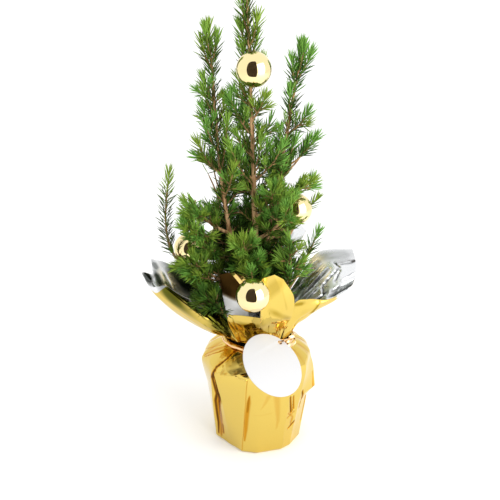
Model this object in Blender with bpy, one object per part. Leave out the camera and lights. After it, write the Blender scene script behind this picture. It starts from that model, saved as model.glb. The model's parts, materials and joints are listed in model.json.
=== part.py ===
"""A small potted conifer in gift wrap: three leaders and their side boughs, masses of needles, a
nursery pot with compost, a gathered square of foil with four corners, its tie, and a blank tag.

Metres, +Z up. The origin is the centre of the flat underside, -Y is the front, +X is to the right.
The tables below are in millimetres. An azimuth is measured from the front towards +X.
"""

import math
import random

import bmesh
import bpy
import numpy as np
from mathutils import Matrix, Vector

MM = 0.001
GAP = 0.3 * MM
SEED = 24

# Pot and compost
POT_HEIGHT = 85.0
POT_FLOOR_Z = 1.3
POT_BASE_RADIUS = 37.0
POT_RIM_RADIUS = 48.6
POT_RIM_HEIGHT = 9.0
POT_RIM_STEP = 1.2
POT_WALL = 1.4
COMPOST_TOP = 78.5
POT_SIDES = 28

# Foil wrap: a profile of (height, radius at the creases)
FOIL = 0.8
BAG_NECK = 33.0
BAG_PROFILE = [
    (0.0, 41.5), (2.0, 43.2), (20.0, 45.6), (48.0, 49.8), (57.0, 51.0), (76.0, 53.9), (86.0, 54.2),
    (93.0, 50.5), (99.5, 43.0), (103.2, 36.4), (105.2, BAG_NECK + 0.4), (107.2, BAG_NECK),
    (109.8, BAG_NECK + 0.2),
]
# Long creases: azimuth at the foot, at BAG_MIDDLE and at the shoulder, then how far each stands out
# of the profile at BAG_MIDDLE and at the shoulder
BAG_MIDDLE = 57.0
BAG_SHOULDER = 86.0
BAG_CREASES = [
    (-92, -88, -84, -1.2, 0.6),
    (-74, -60, -53, 0.0, 0.4),
    (-21.3, -14.5, -11.5, 0.0, 0.4),
    (-1, 3, 7, -0.4, 0.0),
    (33, 35, 38, 0.0, 0.0),
    (47, 52, 60, 0.0, -1.0),
    (74, 80, 86, 6.4, -1.8),
    (104, 106, 108, -1.0, -1.2),
    (138, 138, 138, 0.0, 0.4),
    (172, 174, 176, 0.0, 0.4),
    (210, 212, 214, 0.0, 0.4),
    (240, 242, 246, 0.0, 0.4),
]
BAG_CORNER_FADE = 9.0
BAG_STEPS_PER_FACET = 3
BAG_PLEATS = 16
BAG_PLEAT_DEPTH = 0.7
# The open fold on the left: azimuths at foot and shoulder of its deepest line and of its right edge,
# and its depth at the heights of the profile where it is open
FOLD_VALLEY = (-66.0, -51.8)
FOLD_EDGE = (-43.5, -50.4)
FOLD_DEPTHS = {20.0: 2.2, 48.0: 3.4, 57.0: 3.6, 76.0: 2.0}

NECK_RADIUS = 31.2
NECK_TOP = 111.4

# Foil corners: columns of points from the neck to the rim, the first given by its azimuth
FOIL_PETALS = {
    "foil_left": [
        (-36, (-35, -22, 138), (-54, -19, 148), (-75, -20, 160), (-86, -20, 167)),
        (-50, (-44, -33, 136), (-64, -33, 154), (-82, -28, 167), (-89, -24, 169)),
        (-68, (-46, -27, 126), (-72, -24, 142), (-90, -20, 155), (-101, -13, 165)),
        (-94, (-48, -10, 121), (-76, -9, 134), (-99, -8, 155), (-108, -5, 175)),
        (-122, (-44, 14, 133), (-76, 14, 147), (-96, 11, 160), (-101, 9, 168)),
        (-148, (-38, 28, 146), (-66, 33, 158), (-92, 34, 170), (-104, 27, 176)),
    ],
    "foil_right": [
        (44, (33, -27, 152), (46, -25, 156), (60, -16, 152), (76, -2, 148)),
        (66, (39, -21, 134), (53, -19, 144), (69, -10, 149), (85, 5, 151)),
        (92, (44, -8, 127), (60, -5, 138), (77, 2, 147), (94, 18, 157)),
        (118, (40, 14, 136), (57, 20, 150), (76, 29, 163), (97, 34, 168)),
        (146, (32, 27, 140), (44, 35, 156), (62, 50, 174), (95, 47, 178)),
    ],
    "foil_front": [
        (-36, (-25, -30, 127), (-27, -35, 135), (-28, -39, 142), (-27, -43, 149)),
        (-18, (-12, -36, 127), (-13, -42, 136), (-14, -46, 144), (-14, -49, 151)),
        (0, (1, -37, 128), (2, -44, 137), (2, -49, 145), (2, -52, 150)),
        (13, (10, -36, 130), (12, -46, 147), (9, -48, 168), (3, -46, 188)),
        (26, (18, -33, 130), (22, -42, 146), (22, -46, 168), (14, -48, 192)),
        (39, (25, -28, 129), (31, -36, 145), (32, -41, 166), (22, -45, 186)),
    ],
    "foil_back": [
        (150, (22, 40, 136), (36, 58, 164), (51, 78, 186)),
        (169, (8, 44, 138), (22, 66, 168), (42, 84, 190)),
        (188, (-6, 42, 134), (4, 60, 158), (18, 76, 176)),
        (206, (-17, 36, 130), (-15, 47, 147), (-10, 56, 158)),
    ],
}
PETAL_STEPS_ACROSS = 2
PETAL_STEPS_UP = 2
FLAP_COLUMNS = [
    [(-18, -20, 114), (-27, -27, 135), (-32, -31, 160), (-35, -33, 184)],
    [(-12, -23, 114), (-20, -29, 135), (-24, -34, 160), (-26, -35, 187)],
    [(-6, -25, 114), (-10, -31, 135), (-13, -36, 160), (-14, -37, 186)],
    [(0, -26, 114), (-1, -31, 135), (-3, -37, 155), (-4, -39, 172)],
    [(6, -26, 114), (8, -31, 133), (9, -36, 149), (9, -38, 161)],
    [(11, -24, 114), (14, -29, 132), (16, -33, 146), (17, -35, 156)],
]

# Tie, its knot with a ring through the tag, and a loose ribbon end on the shoulder
TIE_HEIGHT = 107.2
TIE_THICKNESS = 1.7
KNOT_CENTRE = (26.8, -27.8, 113.6)
KNOT_RADII = (4.6, 3.2, 3.6)
RING_THICKNESS = 1.4
RIBBON_COLUMNS = [
    [(-20, 105.6, 3.8), (-31, 102.8, 4.0), (-38, 97.0, 3.8), (-39, 90.0, 3.2)],
    [(-10, 103.0, 5.2), (-21, 99.0, 5.8), (-32, 94.0, 5.6), (-38, 88.6, 4.4)],
    [(-1, 99.0, 3.6), (-13, 94.0, 4.0), (-26, 90.0, 3.8), (-37, 87.0, 3.2)],
]

# Tag
TAG_CENTRE = (13.0, -60.3, 107.3)
TAG_NORMAL = (0.503, -0.456, 0.735)
TAG_RADIUS = 31.0
TAG_THICKNESS = 0.8
TAG_HOLE_RADIUS = 2.2
TAG_HOLE_OFFSET = 27.2
TAG_HOLE_TURN = 33.0
TAG_SIDES = 48

# Leaders: root, elbow and tip, then the root and tip radius
LEADERS = {
    "trunk": ((1, 0, 78.8), (-3, 2, 250), (-10.3, 0, 428), 4.6, 1.1),
    "stem_left": ((0, 0, 95), (-33, 0, 200), (-40, 5, 352), 3.2, 1.6),
    "stem_right": ((0, 0, 150), (17, 8, 250), (31, 10, 338), 2.9, 1.5),
}
LEADER_PARENTS = {"stem_left": "trunk", "stem_right": "trunk"}
FLARE_EXTRA = 2.6
FLARE_FADE = 10.0

# Boughs: the limb each one grows from, the height of its root there, and its end
BOUGHS = {
    "bough_left_outer": ("stem_left", 118, (-79, 6, 188)),
    "bough_left_upper": ("stem_left", 212, (-48, -8, 229)),
    "bough_left_middle": ("stem_left", 182, (-50, -18, 213)),
    "bough_left_low": ("stem_left", 160, (-46, -26, 184)),
    "bough_left_front": ("stem_left", 114, (-34, -30, 149)),
    "bough_right_upper": ("trunk", 228, (13, -8, 243)),
    "bough_right_middle": ("trunk", 206, (22, -18, 232)),
    "bough_right_outer": ("trunk", 118, (47, 13, 184)),
    "bough_right_inner": ("trunk", 130, (27, -18, 168)),
    "bough_right_back": ("stem_right", 200, (34, 20, 241)),
    "bough_right_rear": ("trunk", 172, (36, 30, 210)),
    "bough_front": ("trunk", 166, (-9, -22, 190)),
    "bough_back_left": ("stem_left", 200, (-36, 30, 230)),
    "bough_back_right": ("trunk", 215, (12, 30, 245)),
    "bough_back_low_left": ("trunk", 140, (-22, 37, 168)),
    "bough_back_low_right": ("trunk", 156, (12, 36, 186)),
}
BOUGH_ROOT_RADIUS = 2.0
BOUGH_END_RADIUS = 1.3
ELBOW_OUT = 0.6
ELBOW_UP = 0.35

# Masses that grow on from a bough's end: their tip and their number of side twigs
BOUGH_MASSES = {
    "needles_left_outer": ("bough_left_outer", (-82, 10, 270), 0),
    "needles_left_upper": ("bough_left_upper", (-67, -15, 246), 2),
    "needles_left_middle": ("bough_left_middle", (-68, -30, 234), 2),
    "needles_left_low": ("bough_left_low", (-69, -42, 200), 2),
    "needles_left_front": ("bough_left_front", (-49, -45, 168), 2),
    "needles_right_upper": ("bough_right_upper", (28, -14, 258), 2),
    "needles_right_middle": ("bough_right_middle", (30, -31, 252), 2),
    "needles_right_outer": ("bough_right_outer", (59, 20, 209), 0),
    "needles_right_inner": ("bough_right_inner", (27, -25, 221), 2),
    "needles_right_back": ("bough_right_back", (54, 25, 258), 1),
    "needles_right_rear": ("bough_right_rear", (58, 38, 231), 2),
    "needles_front": ("bough_front", (-14, -44, 225), 3),
    "needles_back_left": ("bough_back_left", (-50, 48, 262), 3),
    "needles_back_right": ("bough_back_right", (24, 50, 274), 3),
    "needles_back_low_left": ("bough_back_low_left", (-12, 62, 200), 3),
    "needles_back_low_right": ("bough_back_low_right", (22, 60, 214), 3),
}
# Masses whose stem meets a leader itself: the leader, the height there, the tip and the side twigs
LEADER_MASSES = {
    "needles_front_low": ("trunk", 152, (-7, -56, 199), 2),
    "needles_centre_back": ("trunk", 188, (-12, 22, 247), 2),
}
# Masses at the top of the two side leaders
TOP_MASSES = {
    "needles_left_top": ("stem_left", (-43, 5, 398), 0),
    "needles_right_top": ("stem_right", (38, 10, 382), 0),
}
# Masses round a leader: the leader, the lowest and highest height of the core, and the side shoots,
# each by its height on the leader and its tip
SLEEVES = {
    "needles_trunk_top": ("trunk", 352, 431, ()),
    "needles_trunk_upper": ("trunk", 290, 348, (
        (304, (-27, -5, 341)), (318, (7, -10, 342)), (292, (14, 12, 318)), (300, (-14, 24, 326)))),
    "needles_trunk_lower": ("trunk", 234, 286, (
        (262, (24, -12, 300)), (258, (-27, -20, 302)), (240, (-6, 30, 284)))),
    "needles_left_upper_stem": ("stem_left", 286, 346, (
        (300, (-53, 0, 332)), (332, (-52, 3, 356)))),
    "needles_left_lower_stem": ("stem_left", 222, 282, (
        (268, (-56, -5, 301)), (246, (-21, -22, 282)), (236, (-44, 28, 278)))),
    "needles_right_stem": ("stem_right", 232, 333, (
        (270, (54, 5, 302)), (303, (46, 0, 326)), (250, (33, 34, 280)))),
}

# Needles: larger than life, so that each one stands for a few
NEEDLE_LENGTH = 15.5
NEEDLE_WIDTH = 1.9
NEEDLE_PITCH = 6.2
NEEDLE_TURN = 137.5
NEEDLE_ANGLE = 52.0
NEEDLE_TIP_ANGLE = 24.0
NEEDLE_CLEARANCE = 0.7
CORE_WALL = 1.4
TWIG_RADIUS = 1.3
TWIG_TIP_RADIUS = 0.9
TWIG_LENGTH = 17.0
TWIG_ANGLE = 46.0
SHOOT_RADIUS = 1.4
SHEET_GUARD = 3.4

# Balls hung in the crown, kept free of needles: centre and radius
BALL_RADIUS = 15.0
BALL_CENTRES = (
    (-4.3, -22, 365), (-5, -64, 174), (37, 30, 226), (-65.5, 18, 190.5), (-33, 36, 193),
)

COLOURS = {
    "pot": ((0.16, 0.07, 0.04, 1.0), 0.6, 0.0),
    "compost": ((0.045, 0.028, 0.016, 1.0), 0.95, 0.0),
    "foil": ((0.84, 0.60, 0.12, 1.0), 0.18, 1.0),
    "ribbon": ((0.83, 0.55, 0.30, 1.0), 0.3, 1.0),
    "tag": ((0.9, 0.9, 0.9, 1.0), 0.7, 0.0),
    "bark": ((0.25, 0.13, 0.06, 1.0), 0.85, 0.0),
    "needles": ((0.05, 0.16, 0.03, 1.0), 0.55, 0.0),
}


# General helpers

def mm(values):
    """A point in metres from millimetres."""
    return Vector(values) * MM


def around(azimuth, radius, height):
    """A point in millimetres at an azimuth from the front, a radius and a height."""
    angle = math.radians(azimuth)
    return Vector((radius * math.sin(angle), -radius * math.cos(angle), height))


def make_material(name):
    colour, roughness, metallic = COLOURS[name.split(".")[0]]
    material = bpy.data.materials.new(name)
    material.use_nodes = True
    shader = material.node_tree.nodes["Principled BSDF"]
    shader.inputs["Base Color"].default_value = colour
    shader.inputs["Roughness"].default_value = roughness
    shader.inputs["Metallic"].default_value = metallic
    material.diffuse_color = colour
    return material


def add_object(name, points, faces, finish=None, smooth_angle=35.0):
    """An object from vertices in metres and faces, in its own material."""
    mesh = bpy.data.meshes.new(name)
    mesh.from_pydata([tuple(p) for p in points], [], faces)
    mesh.update()
    item = bpy.data.objects.new(name, mesh)
    bpy.context.scene.collection.objects.link(item)
    if finish:
        mesh.materials.append(make_material(f"{finish}.{name}"))
        mesh.shade_smooth()
        mesh.set_sharp_from_angle(angle=math.radians(smooth_angle))
    return item


def apply_modifiers(item):
    """Replace an object's mesh with its evaluated one."""
    depsgraph = bpy.context.evaluated_depsgraph_get()
    mesh = bpy.data.meshes.new_from_object(item.evaluated_get(depsgraph))
    item.modifiers.clear()
    item.data = mesh


def boolean(item, operation, target, solver="EXACT"):
    """One applied Boolean with an object or a collection, whose objects are then removed."""
    modifier = item.modifiers.new(operation.lower(), "BOOLEAN")
    modifier.operation = operation
    modifier.solver = solver
    is_group = isinstance(target, bpy.types.Collection)
    modifier.operand_type = "COLLECTION" if is_group else "OBJECT"
    if is_group:
        modifier.collection = target
    else:
        modifier.object = target
    apply_modifiers(item)
    for used in list(target.objects) if is_group else [target]:
        bpy.data.objects.remove(used)
    if is_group:
        bpy.data.collections.remove(target)


def turned(name, profile, sides, finish):
    """A closed solid turned round Z from a closed profile of (radius, height) in millimetres."""
    points = []
    rings = []
    for radius, height in profile:
        if radius == 0.0:
            rings.append([len(points)] * sides)
            points.append(mm((0, 0, height)))
            continue
        rings.append(list(range(len(points), len(points) + sides)))
        points += [mm(around(360.0 * k / sides, radius, height)) for k in range(sides)]
    faces = []
    for lower, upper in zip(rings, rings[1:]):
        for k in range(sides):
            after = (k + 1) % sides
            corners = (lower[k], lower[after], upper[after], upper[k])
            face = list(dict.fromkeys(corners))
            if len(face) > 2:
                faces.append(face)
    return add_object(name, points, faces, finish)


# Pot, compost and foil bag

def make_pot():
    floor, top = POT_FLOOR_Z, POT_HEIGHT
    rim_low = top - POT_RIM_HEIGHT
    wall_radius = POT_RIM_RADIUS - POT_RIM_STEP
    turned("pot", [
        (0.0, floor), (POT_BASE_RADIUS, floor), (wall_radius, rim_low), (POT_RIM_RADIUS, rim_low),
        (POT_RIM_RADIUS, top), (POT_RIM_RADIUS - POT_WALL - POT_RIM_STEP, top),
        (wall_radius - POT_WALL, rim_low), (POT_BASE_RADIUS - POT_WALL, floor + POT_WALL),
        (0.0, floor + POT_WALL),
    ], POT_SIDES, "pot")


def make_compost():
    """The root ball's compost fills the pot to just under its rim."""
    clear = 0.35
    floor = POT_FLOOR_Z + POT_WALL + clear
    base = POT_BASE_RADIUS - POT_WALL - clear
    slope = (POT_RIM_RADIUS - POT_RIM_STEP - POT_BASE_RADIUS) / (POT_HEIGHT - POT_RIM_HEIGHT - POT_FLOOR_Z)
    shoulder = COMPOST_TOP - 4.0
    top_radius = base + slope * (shoulder - floor)
    turned("compost", [
        (0.0, floor), (base, floor), (top_radius, shoulder), (top_radius - 2.0, COMPOST_TOP),
        (0.0, COMPOST_TOP),
    ], POT_SIDES, "compost")


def between(first, last, share):
    return first + (last - first) * share


def crease_line(crease, height):
    """A long crease's azimuth and how far it stands out of the profile, at a height."""
    foot, middle, head, middle_out, head_out = crease
    if height < BAG_MIDDLE:
        share = height / BAG_MIDDLE
        corner = max(0.0, 1 - (BAG_MIDDLE - height) / BAG_CORNER_FADE)
        rise = corner if abs(middle_out) > 2.0 else share
        return between(foot, middle, share), middle_out * rise
    share = min(1.0, (height - BAG_MIDDLE) / (BAG_SHOULDER - BAG_MIDDLE))
    return between(middle, head, share), between(middle_out, head_out, share)


def bag_columns(height):
    """Every column's azimuth at a height: the creases, steps between them and the open fold's lines."""
    creases = [crease_line(crease, height)[0] for crease in BAG_CREASES]
    columns = []
    for start, end in zip(creases, creases[1:] + [creases[0] + 360]):
        if start == creases[1]:
            share = min(1.0, height / BAG_SHOULDER)
            valley, edge = between(*FOLD_VALLEY, share), between(*FOLD_EDGE, share)
            columns += [start, valley, edge, between(edge, end, 1 / 3), between(edge, end, 2 / 3)]
        else:
            columns += [between(start, end, k / BAG_STEPS_PER_FACET) for k in range(BAG_STEPS_PER_FACET)]
    return columns


def chord_radius(azimuth, start, end):
    """The radius of a straight line between two creases, each given as (azimuth, radius)."""
    whole = math.radians(end[0] - start[0])
    before, after = math.radians(azimuth - start[0]), math.radians(end[0] - azimuth)
    return start[1] * end[1] * math.sin(whole) / (end[1] * math.sin(after) + start[1] * math.sin(before))


def faceted_radius(azimuth, height, radius):
    """The bag's side at an azimuth: flat facets between the creases, passing into a circle above."""
    above = max(0.0, (height - BAG_SHOULDER) / (BAG_PROFILE[-1][0] - BAG_SHOULDER))
    fade = max(0.0, 1 - 2.5 * above)
    creases = [(line, radius + out * fade) for line, out in (crease_line(c, height) for c in BAG_CREASES)]
    creases.append((creases[0][0] + 360, creases[0][1]))
    turn = (azimuth - creases[0][0]) % 360 + creases[0][0]
    for start, end in zip(creases, creases[1:]):
        if start[0] <= turn <= end[0]:
            return between(radius, chord_radius(turn, start, end), fade)
    return radius


def bag_radius(azimuth, column, height, radius):
    """Facets on the side of the pot pass into small pleats towards the neck."""
    above = max(0.0, (height - BAG_SHOULDER) / (BAG_PROFILE[-1][0] - BAG_SHOULDER))
    pleat = BAG_PLEAT_DEPTH * above * math.cos(math.radians(BAG_PLEATS * azimuth))
    radius = faceted_radius(azimuth, height, radius + pleat)
    if column == BAG_STEPS_PER_FACET + 1:
        radius -= FOLD_DEPTHS.get(height, 0.0)
    return radius


def inset_profile(profile, distance):
    """The profile moved inwards by a wall's thickness, with its floor raised."""
    inner = []
    for k, (height, radius) in enumerate(profile):
        before = profile[max(k - 1, 0)]
        after = profile[min(k + 1, len(profile) - 1)]
        rise, run = after[0] - before[0], after[1] - before[1]
        length = math.hypot(rise, run)
        inner.append((height + distance * run / length, radius - distance * rise / length))
    inner[0] = (distance, inner[0][1])
    inner[1] = (max(inner[1][0], distance + 1.2), inner[1][1])
    return inner


def make_bag():
    """A thin cup of foil: a flat base, a faceted side and a shoulder gathered into the neck."""
    count = len(bag_columns(0.0))
    points = []
    for profile in (BAG_PROFILE, inset_profile(BAG_PROFILE, FOIL)):
        for (height, radius), (outer_height, _) in zip(profile, BAG_PROFILE):
            for column, azimuth in enumerate(bag_columns(outer_height)):
                reach = bag_radius(azimuth, column, outer_height, radius)
                points.append(mm(around(azimuth, reach, height)))
    rows = len(BAG_PROFILE)
    faces = []
    for layer in range(2):
        for row in range(rows - 1):
            for k in range(count):
                a = (layer * rows + row) * count + k
                b = (layer * rows + row) * count + (k + 1) % count
                quad = (a, b, b + count, a + count)
                faces.append(quad if layer == 0 else quad[::-1])
    top_outer = (rows - 1) * count
    top_inner = (2 * rows - 1) * count
    for k in range(count):
        after = (k + 1) % count
        faces.append((top_outer + k, top_outer + after, top_inner + after, top_inner + k))
    for start, height in ((0, 0.0), (rows * count, FOIL)):
        centre = len(points)
        points.append(mm((0, 0, height)))
        for k in range(count):
            triangle = (start + k, centre, start + (k + 1) % count)
            faces.append(triangle if start == 0 else triangle[::-1])
    add_object("foil_bag", points, faces, "foil", smooth_angle=24.0)


def bag_surface(azimuth, height, offset):
    """A point outside the bag's side, in millimetres."""
    for (low, first), (high, second) in zip(BAG_PROFILE, BAG_PROFILE[1:]):
        if low <= height <= high:
            radius = first + (second - first) * (height - low) / (high - low)
            return around(azimuth, radius + offset, height)
    return around(azimuth, BAG_PROFILE[-1][1] + offset, height)


# Foil corners, ribbon and tag

def through(points, steps):
    """A smooth curve through points, with a number of steps between each two."""
    ends = [2 * points[0] - points[1]] + list(points) + [2 * points[-1] - points[-2]]
    curve = []
    for a, b, c, d in zip(ends, ends[1:], ends[2:], ends[3:]):
        for k in range(steps):
            t = k / steps
            curve.append(0.5 * (2 * b + (c - a) * t + (2 * a - 5 * b + 4 * c - d) * t * t
                                + (3 * b - a - 3 * c + d) * t ** 3))
    return curve + [points[-1].copy()]


def refine(columns, across, up):
    """A finer grid through columns of points in millimetres."""
    tall = [through([Vector(p) for p in column], up) for column in columns]
    rows = [through(list(row), across) for row in zip(*tall)]
    return rows


def thicken(rows, thickness):
    """The two faces of a sheet as one closed mesh: its points, in metres, and its faces."""
    height, width = len(rows), len(rows[0])
    normals = []
    for i in range(height):
        for j in range(width):
            up = rows[min(i + 1, height - 1)][j] - rows[max(i - 1, 0)][j]
            side = rows[i][min(j + 1, width - 1)] - rows[i][max(j - 1, 0)]
            normals.append(side.cross(up).normalized())
    flat = [p for row in rows for p in row]
    points = [(p + n * thickness / 2) * MM for p, n in zip(flat, normals)]
    points += [(p - n * thickness / 2) * MM for p, n in zip(flat, normals)]
    back = height * width
    faces = []
    for i in range(height - 1):
        for j in range(width - 1):
            a = i * width + j
            quad = (a, a + 1, a + width + 1, a + width)
            faces.append(quad)
            faces.append(tuple(back + v for v in quad[::-1]))
    border = [j for j in range(width)]
    border += [i * width + width - 1 for i in range(1, height)]
    border += [(height - 1) * width + j for j in range(width - 2, -1, -1)]
    border += [i * width for i in range(height - 2, 0, -1)]
    for a, b in zip(border, border[1:] + border[:1]):
        faces.append((b, a, back + a, back + b))
    return points, faces


def petal_rows(columns):
    """A foil corner's grid, whose first point in each column lies on the neck."""
    full = [[around(column[0], NECK_RADIUS, NECK_TOP)] + list(column[1:]) for column in columns]
    return refine(full, PETAL_STEPS_ACROSS, PETAL_STEPS_UP)


def ribbon_rows():
    columns = [[bag_surface(*place) for place in column] for column in zip(*RIBBON_COLUMNS)]
    return refine(columns, 2, 2)


def foil_sheets():
    """Every loose sheet of foil by its node's name."""
    sheets = {name: petal_rows(columns) for name, columns in FOIL_PETALS.items()}
    sheets["foil_front_flap"] = refine(FLAP_COLUMNS, 2, 2)
    sheets["ribbon_end"] = ribbon_rows()
    return sheets


def make_sheets(sheets):
    for name, rows in sheets.items():
        points, faces = thicken(rows, FOIL)
        finish = "ribbon" if name.startswith("ribbon") else "foil"
        add_object(name, points, faces, finish, smooth_angle=30.0)


def torus(name, radius, thickness, steps, sides, finish=None, placed=Matrix()):
    """A closed ring in millimetres, turned and placed by a matrix in metres."""
    points = []
    for i in range(steps):
        turn = math.tau * i / steps
        for j in range(sides):
            angle = math.tau * j / sides
            reach = radius + thickness / 2 * math.cos(angle)
            local = mm((reach * math.cos(turn), reach * math.sin(turn), thickness / 2 * math.sin(angle)))
            points.append(placed @ local)
    faces = []
    for i in range(steps):
        for j in range(sides):
            after = (i + 1) % steps
            beside = (j + 1) % sides
            faces.append((i * sides + j, after * sides + j, after * sides + beside, i * sides + beside))
    return add_object(name, points, faces, finish)


def tag_axes():
    """The tag's own axes: level along the card, up the card, and its normal."""
    normal = Vector(TAG_NORMAL).normalized()
    level = Vector((-normal.y, normal.x, 0)).normalized()
    upward = normal.cross(level).normalized()
    return level, upward, normal


def tag_hole():
    level, upward, _ = tag_axes()
    turn = math.radians(TAG_HOLE_TURN)
    outward = level * math.cos(turn) + upward * math.sin(turn)
    return mm(TAG_CENTRE) + outward * TAG_HOLE_OFFSET * MM, outward


def make_tag():
    """A thin round card with one hole near its edge."""
    level, upward, normal = tag_axes()
    frame = Matrix((level, upward, normal)).transposed().to_4x4()
    frame.translation = mm(TAG_CENTRE)
    card = disc("gift_tag", TAG_RADIUS, TAG_THICKNESS, TAG_SIDES, frame, "tag")
    hole, _ = tag_hole()
    frame.translation = hole
    boolean(card, "DIFFERENCE", disc("hole", TAG_HOLE_RADIUS, 4 * TAG_THICKNESS, 16, frame))


def disc(name, radius, thickness, sides, placed, finish=None):
    points = []
    for height in (-thickness / 2, thickness / 2):
        for k in range(sides):
            angle = math.tau * k / sides
            points.append(placed @ mm((radius * math.cos(angle), radius * math.sin(angle), height)))
    faces = [tuple(range(sides))[::-1], tuple(range(sides, 2 * sides))]
    for k in range(sides):
        after = (k + 1) % sides
        faces.append((k, after, sides + after, sides + k))
    return add_object(name, points, faces, finish)


def make_tie():
    radius = BAG_NECK + BAG_PLEAT_DEPTH + GAP / MM + TIE_THICKNESS / 2
    torus("ribbon_tie", radius, TIE_THICKNESS, 36, 6, "ribbon", Matrix.Translation(mm((0, 0, TIE_HEIGHT))))


def make_knot():
    """The tie's knot, with a ring of ribbon from it through the tag's hole."""
    mesh = bmesh.new()
    bmesh.ops.create_icosphere(mesh, subdivisions=2, radius=1.0)
    for vertex in mesh.verts:
        vertex.co = mm(KNOT_CENTRE) + Vector([c * r * MM for c, r in zip(vertex.co, KNOT_RADII)])
    data = bpy.data.meshes.new("ribbon_knot")
    mesh.to_mesh(data)
    mesh.free()
    knot = bpy.data.objects.new("ribbon_knot", data)
    bpy.context.scene.collection.objects.link(knot)
    data.materials.append(make_material("ribbon.ribbon_knot"))
    hole, _ = tag_hole()
    reach = mm(KNOT_CENTRE) - hole
    ahead = reach.normalized()
    side = tag_axes()[2].cross(ahead).normalized()
    frame = Matrix((ahead, side.cross(ahead) * -1, side)).transposed().to_4x4()
    frame.translation = hole + reach / 2
    ring = torus("ring", reach.length / MM / 2, RING_THICKNESS, 18, 6, None, frame)
    recalculate_normals(ring)
    boolean(knot, "UNION", ring)
    knot.data.shade_smooth()


def recalculate_normals(item):
    mesh = bmesh.new()
    mesh.from_mesh(item.data)
    bmesh.ops.recalc_face_normals(mesh, faces=mesh.faces)
    mesh.to_mesh(item.data)
    mesh.free()


# Limbs

class Limb:
    """A tapering limb on a quadratic curve; places in millimetres."""

    def __init__(self, root, elbow, tip, root_radius, tip_radius, flare=0.0):
        self.ends = [Vector(root), Vector(elbow), Vector(tip)]
        self.radii = (root_radius, tip_radius)
        self.flare = flare

    def at(self, t):
        a, b, c = self.ends
        return a * (1 - t) ** 2 + b * 2 * t * (1 - t) + c * t * t

    def along(self, t):
        a, b, c = self.ends
        return ((b - a) * (1 - t) + (c - b) * t).normalized()

    def radius(self, t):
        first, last = self.radii
        rise = (self.at(t) - self.ends[0]).length
        return first + (last - first) * t + self.flare * math.exp(-rise / FLARE_FADE)

    def at_height(self, height):
        """The curve's parameter at a height."""
        low, high = 0.0, 1.0
        for _ in range(30):
            middle = (low + high) / 2
            if self.at(middle).z < height:
                low = middle
            else:
                high = middle
        return (low + high) / 2

    def length(self):
        return sum((self.at((k + 1) / 12) - self.at(k / 12)).length for k in range(12))


def elbow_between(root, tip):
    """A side limb leaves outwards and then turns up."""
    reach = Vector(tip) - Vector(root)
    return Vector(root) + Vector((reach.x * ELBOW_OUT, reach.y * ELBOW_OUT, reach.z * ELBOW_UP))


def stations(limb, start, end, count):
    """Curve parameters, closer together where a root flares."""
    if limb.flare:
        near = [0.0, 0.012, 0.03, 0.06]
        return near + [0.06 + (1 - 0.06) * (k + 1) / count for k in range(count)]
    return [start + (end - start) * k / count for k in range(count + 1)]


def tube(name, centres, radii, sides, finish=None):
    """A closed tube of flat rings along a line of points in millimetres."""
    ahead = (centres[1] - centres[0]).normalized()
    side = ahead.cross(Vector((0, 1, 0))).normalized()
    points = []
    last = len(centres) - 1
    for k, (centre, radius) in enumerate(zip(centres, radii)):
        ahead = (centres[min(k + 1, last)] - centres[max(k - 1, 0)]).normalized()
        side = (side - ahead * side.dot(ahead)).normalized()
        over = ahead.cross(side)
        for j in range(sides):
            angle = math.tau * j / sides
            points.append((centre + (side * math.cos(angle) + over * math.sin(angle)) * radius) * MM)
    faces = [tuple(range(sides))[::-1], tuple(range(last * sides, (last + 1) * sides))]
    for k in range(last):
        for j in range(sides):
            beside = (j + 1) % sides
            faces.append((k * sides + j, k * sides + beside, (k + 1) * sides + beside, (k + 1) * sides + j))
    return add_object(name, points, faces, finish, smooth_angle=60.0)


def limb_tube(name, limb, start, end, count, sides, extra=0.0, finish=None):
    places = stations(limb, start, end, count)
    centres = [limb.at(t) for t in places]
    radii = [limb.radius(t) + extra for t in places]
    return tube(name, centres, radii, sides, finish)


def distance_to_limb(point, limb):
    steps = 60
    gaps = [(limb.at(k / steps) - point).length - limb.radius(k / steps) for k in range(steps + 1)]
    return min(gaps)


def clear_start(limb, parent):
    """Where a side limb's flat root just clears its parent."""
    t = 0.0
    while t < 0.9:
        lean = limb.radius(t) * (0.35 + 0.65 * abs(limb.along(t).dot(parent.along(0.5))))
        if distance_to_limb(limb.at(t), parent) >= GAP / MM + lean:
            return t
        t += 0.004
    return t


def grow_limbs():
    """Every leader and bough, with the parameter at which its solid starts."""
    limbs = {}
    starts = {}
    for name, (root, elbow, tip, first, last) in LEADERS.items():
        flare = FLARE_EXTRA if name == "trunk" else 0.0
        limbs[name] = Limb(root, elbow, tip, first, last, flare)
        parent = LEADER_PARENTS.get(name)
        if parent:
            root = limbs[parent].at(limbs[parent].at_height(root[2]))
            limbs[name] = Limb(root, elbow, tip, first, last)
        starts[name] = clear_start(limbs[name], limbs[parent]) if parent else 0.0
    for name, (parent, height, end) in BOUGHS.items():
        root = limbs[parent].at(limbs[parent].at_height(height))
        limbs[name] = Limb(root, elbow_between(root, end), end, BOUGH_ROOT_RADIUS, BOUGH_END_RADIUS)
        starts[name] = clear_start(limbs[name], limbs[parent])
    return limbs, starts


def make_limbs(limbs, starts):
    for name, limb in limbs.items():
        if name == "trunk":
            limb_tube(name, limb, 0, 1, 12, 10, finish="bark")
        elif name in LEADERS:
            limb_tube(name, limb, starts[name], 1, 11, 8, finish="bark")
        else:
            limb_tube(name, limb, starts[name], 1, 6, 6, finish="bark")


# Clearance between the pieces of the crown

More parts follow.
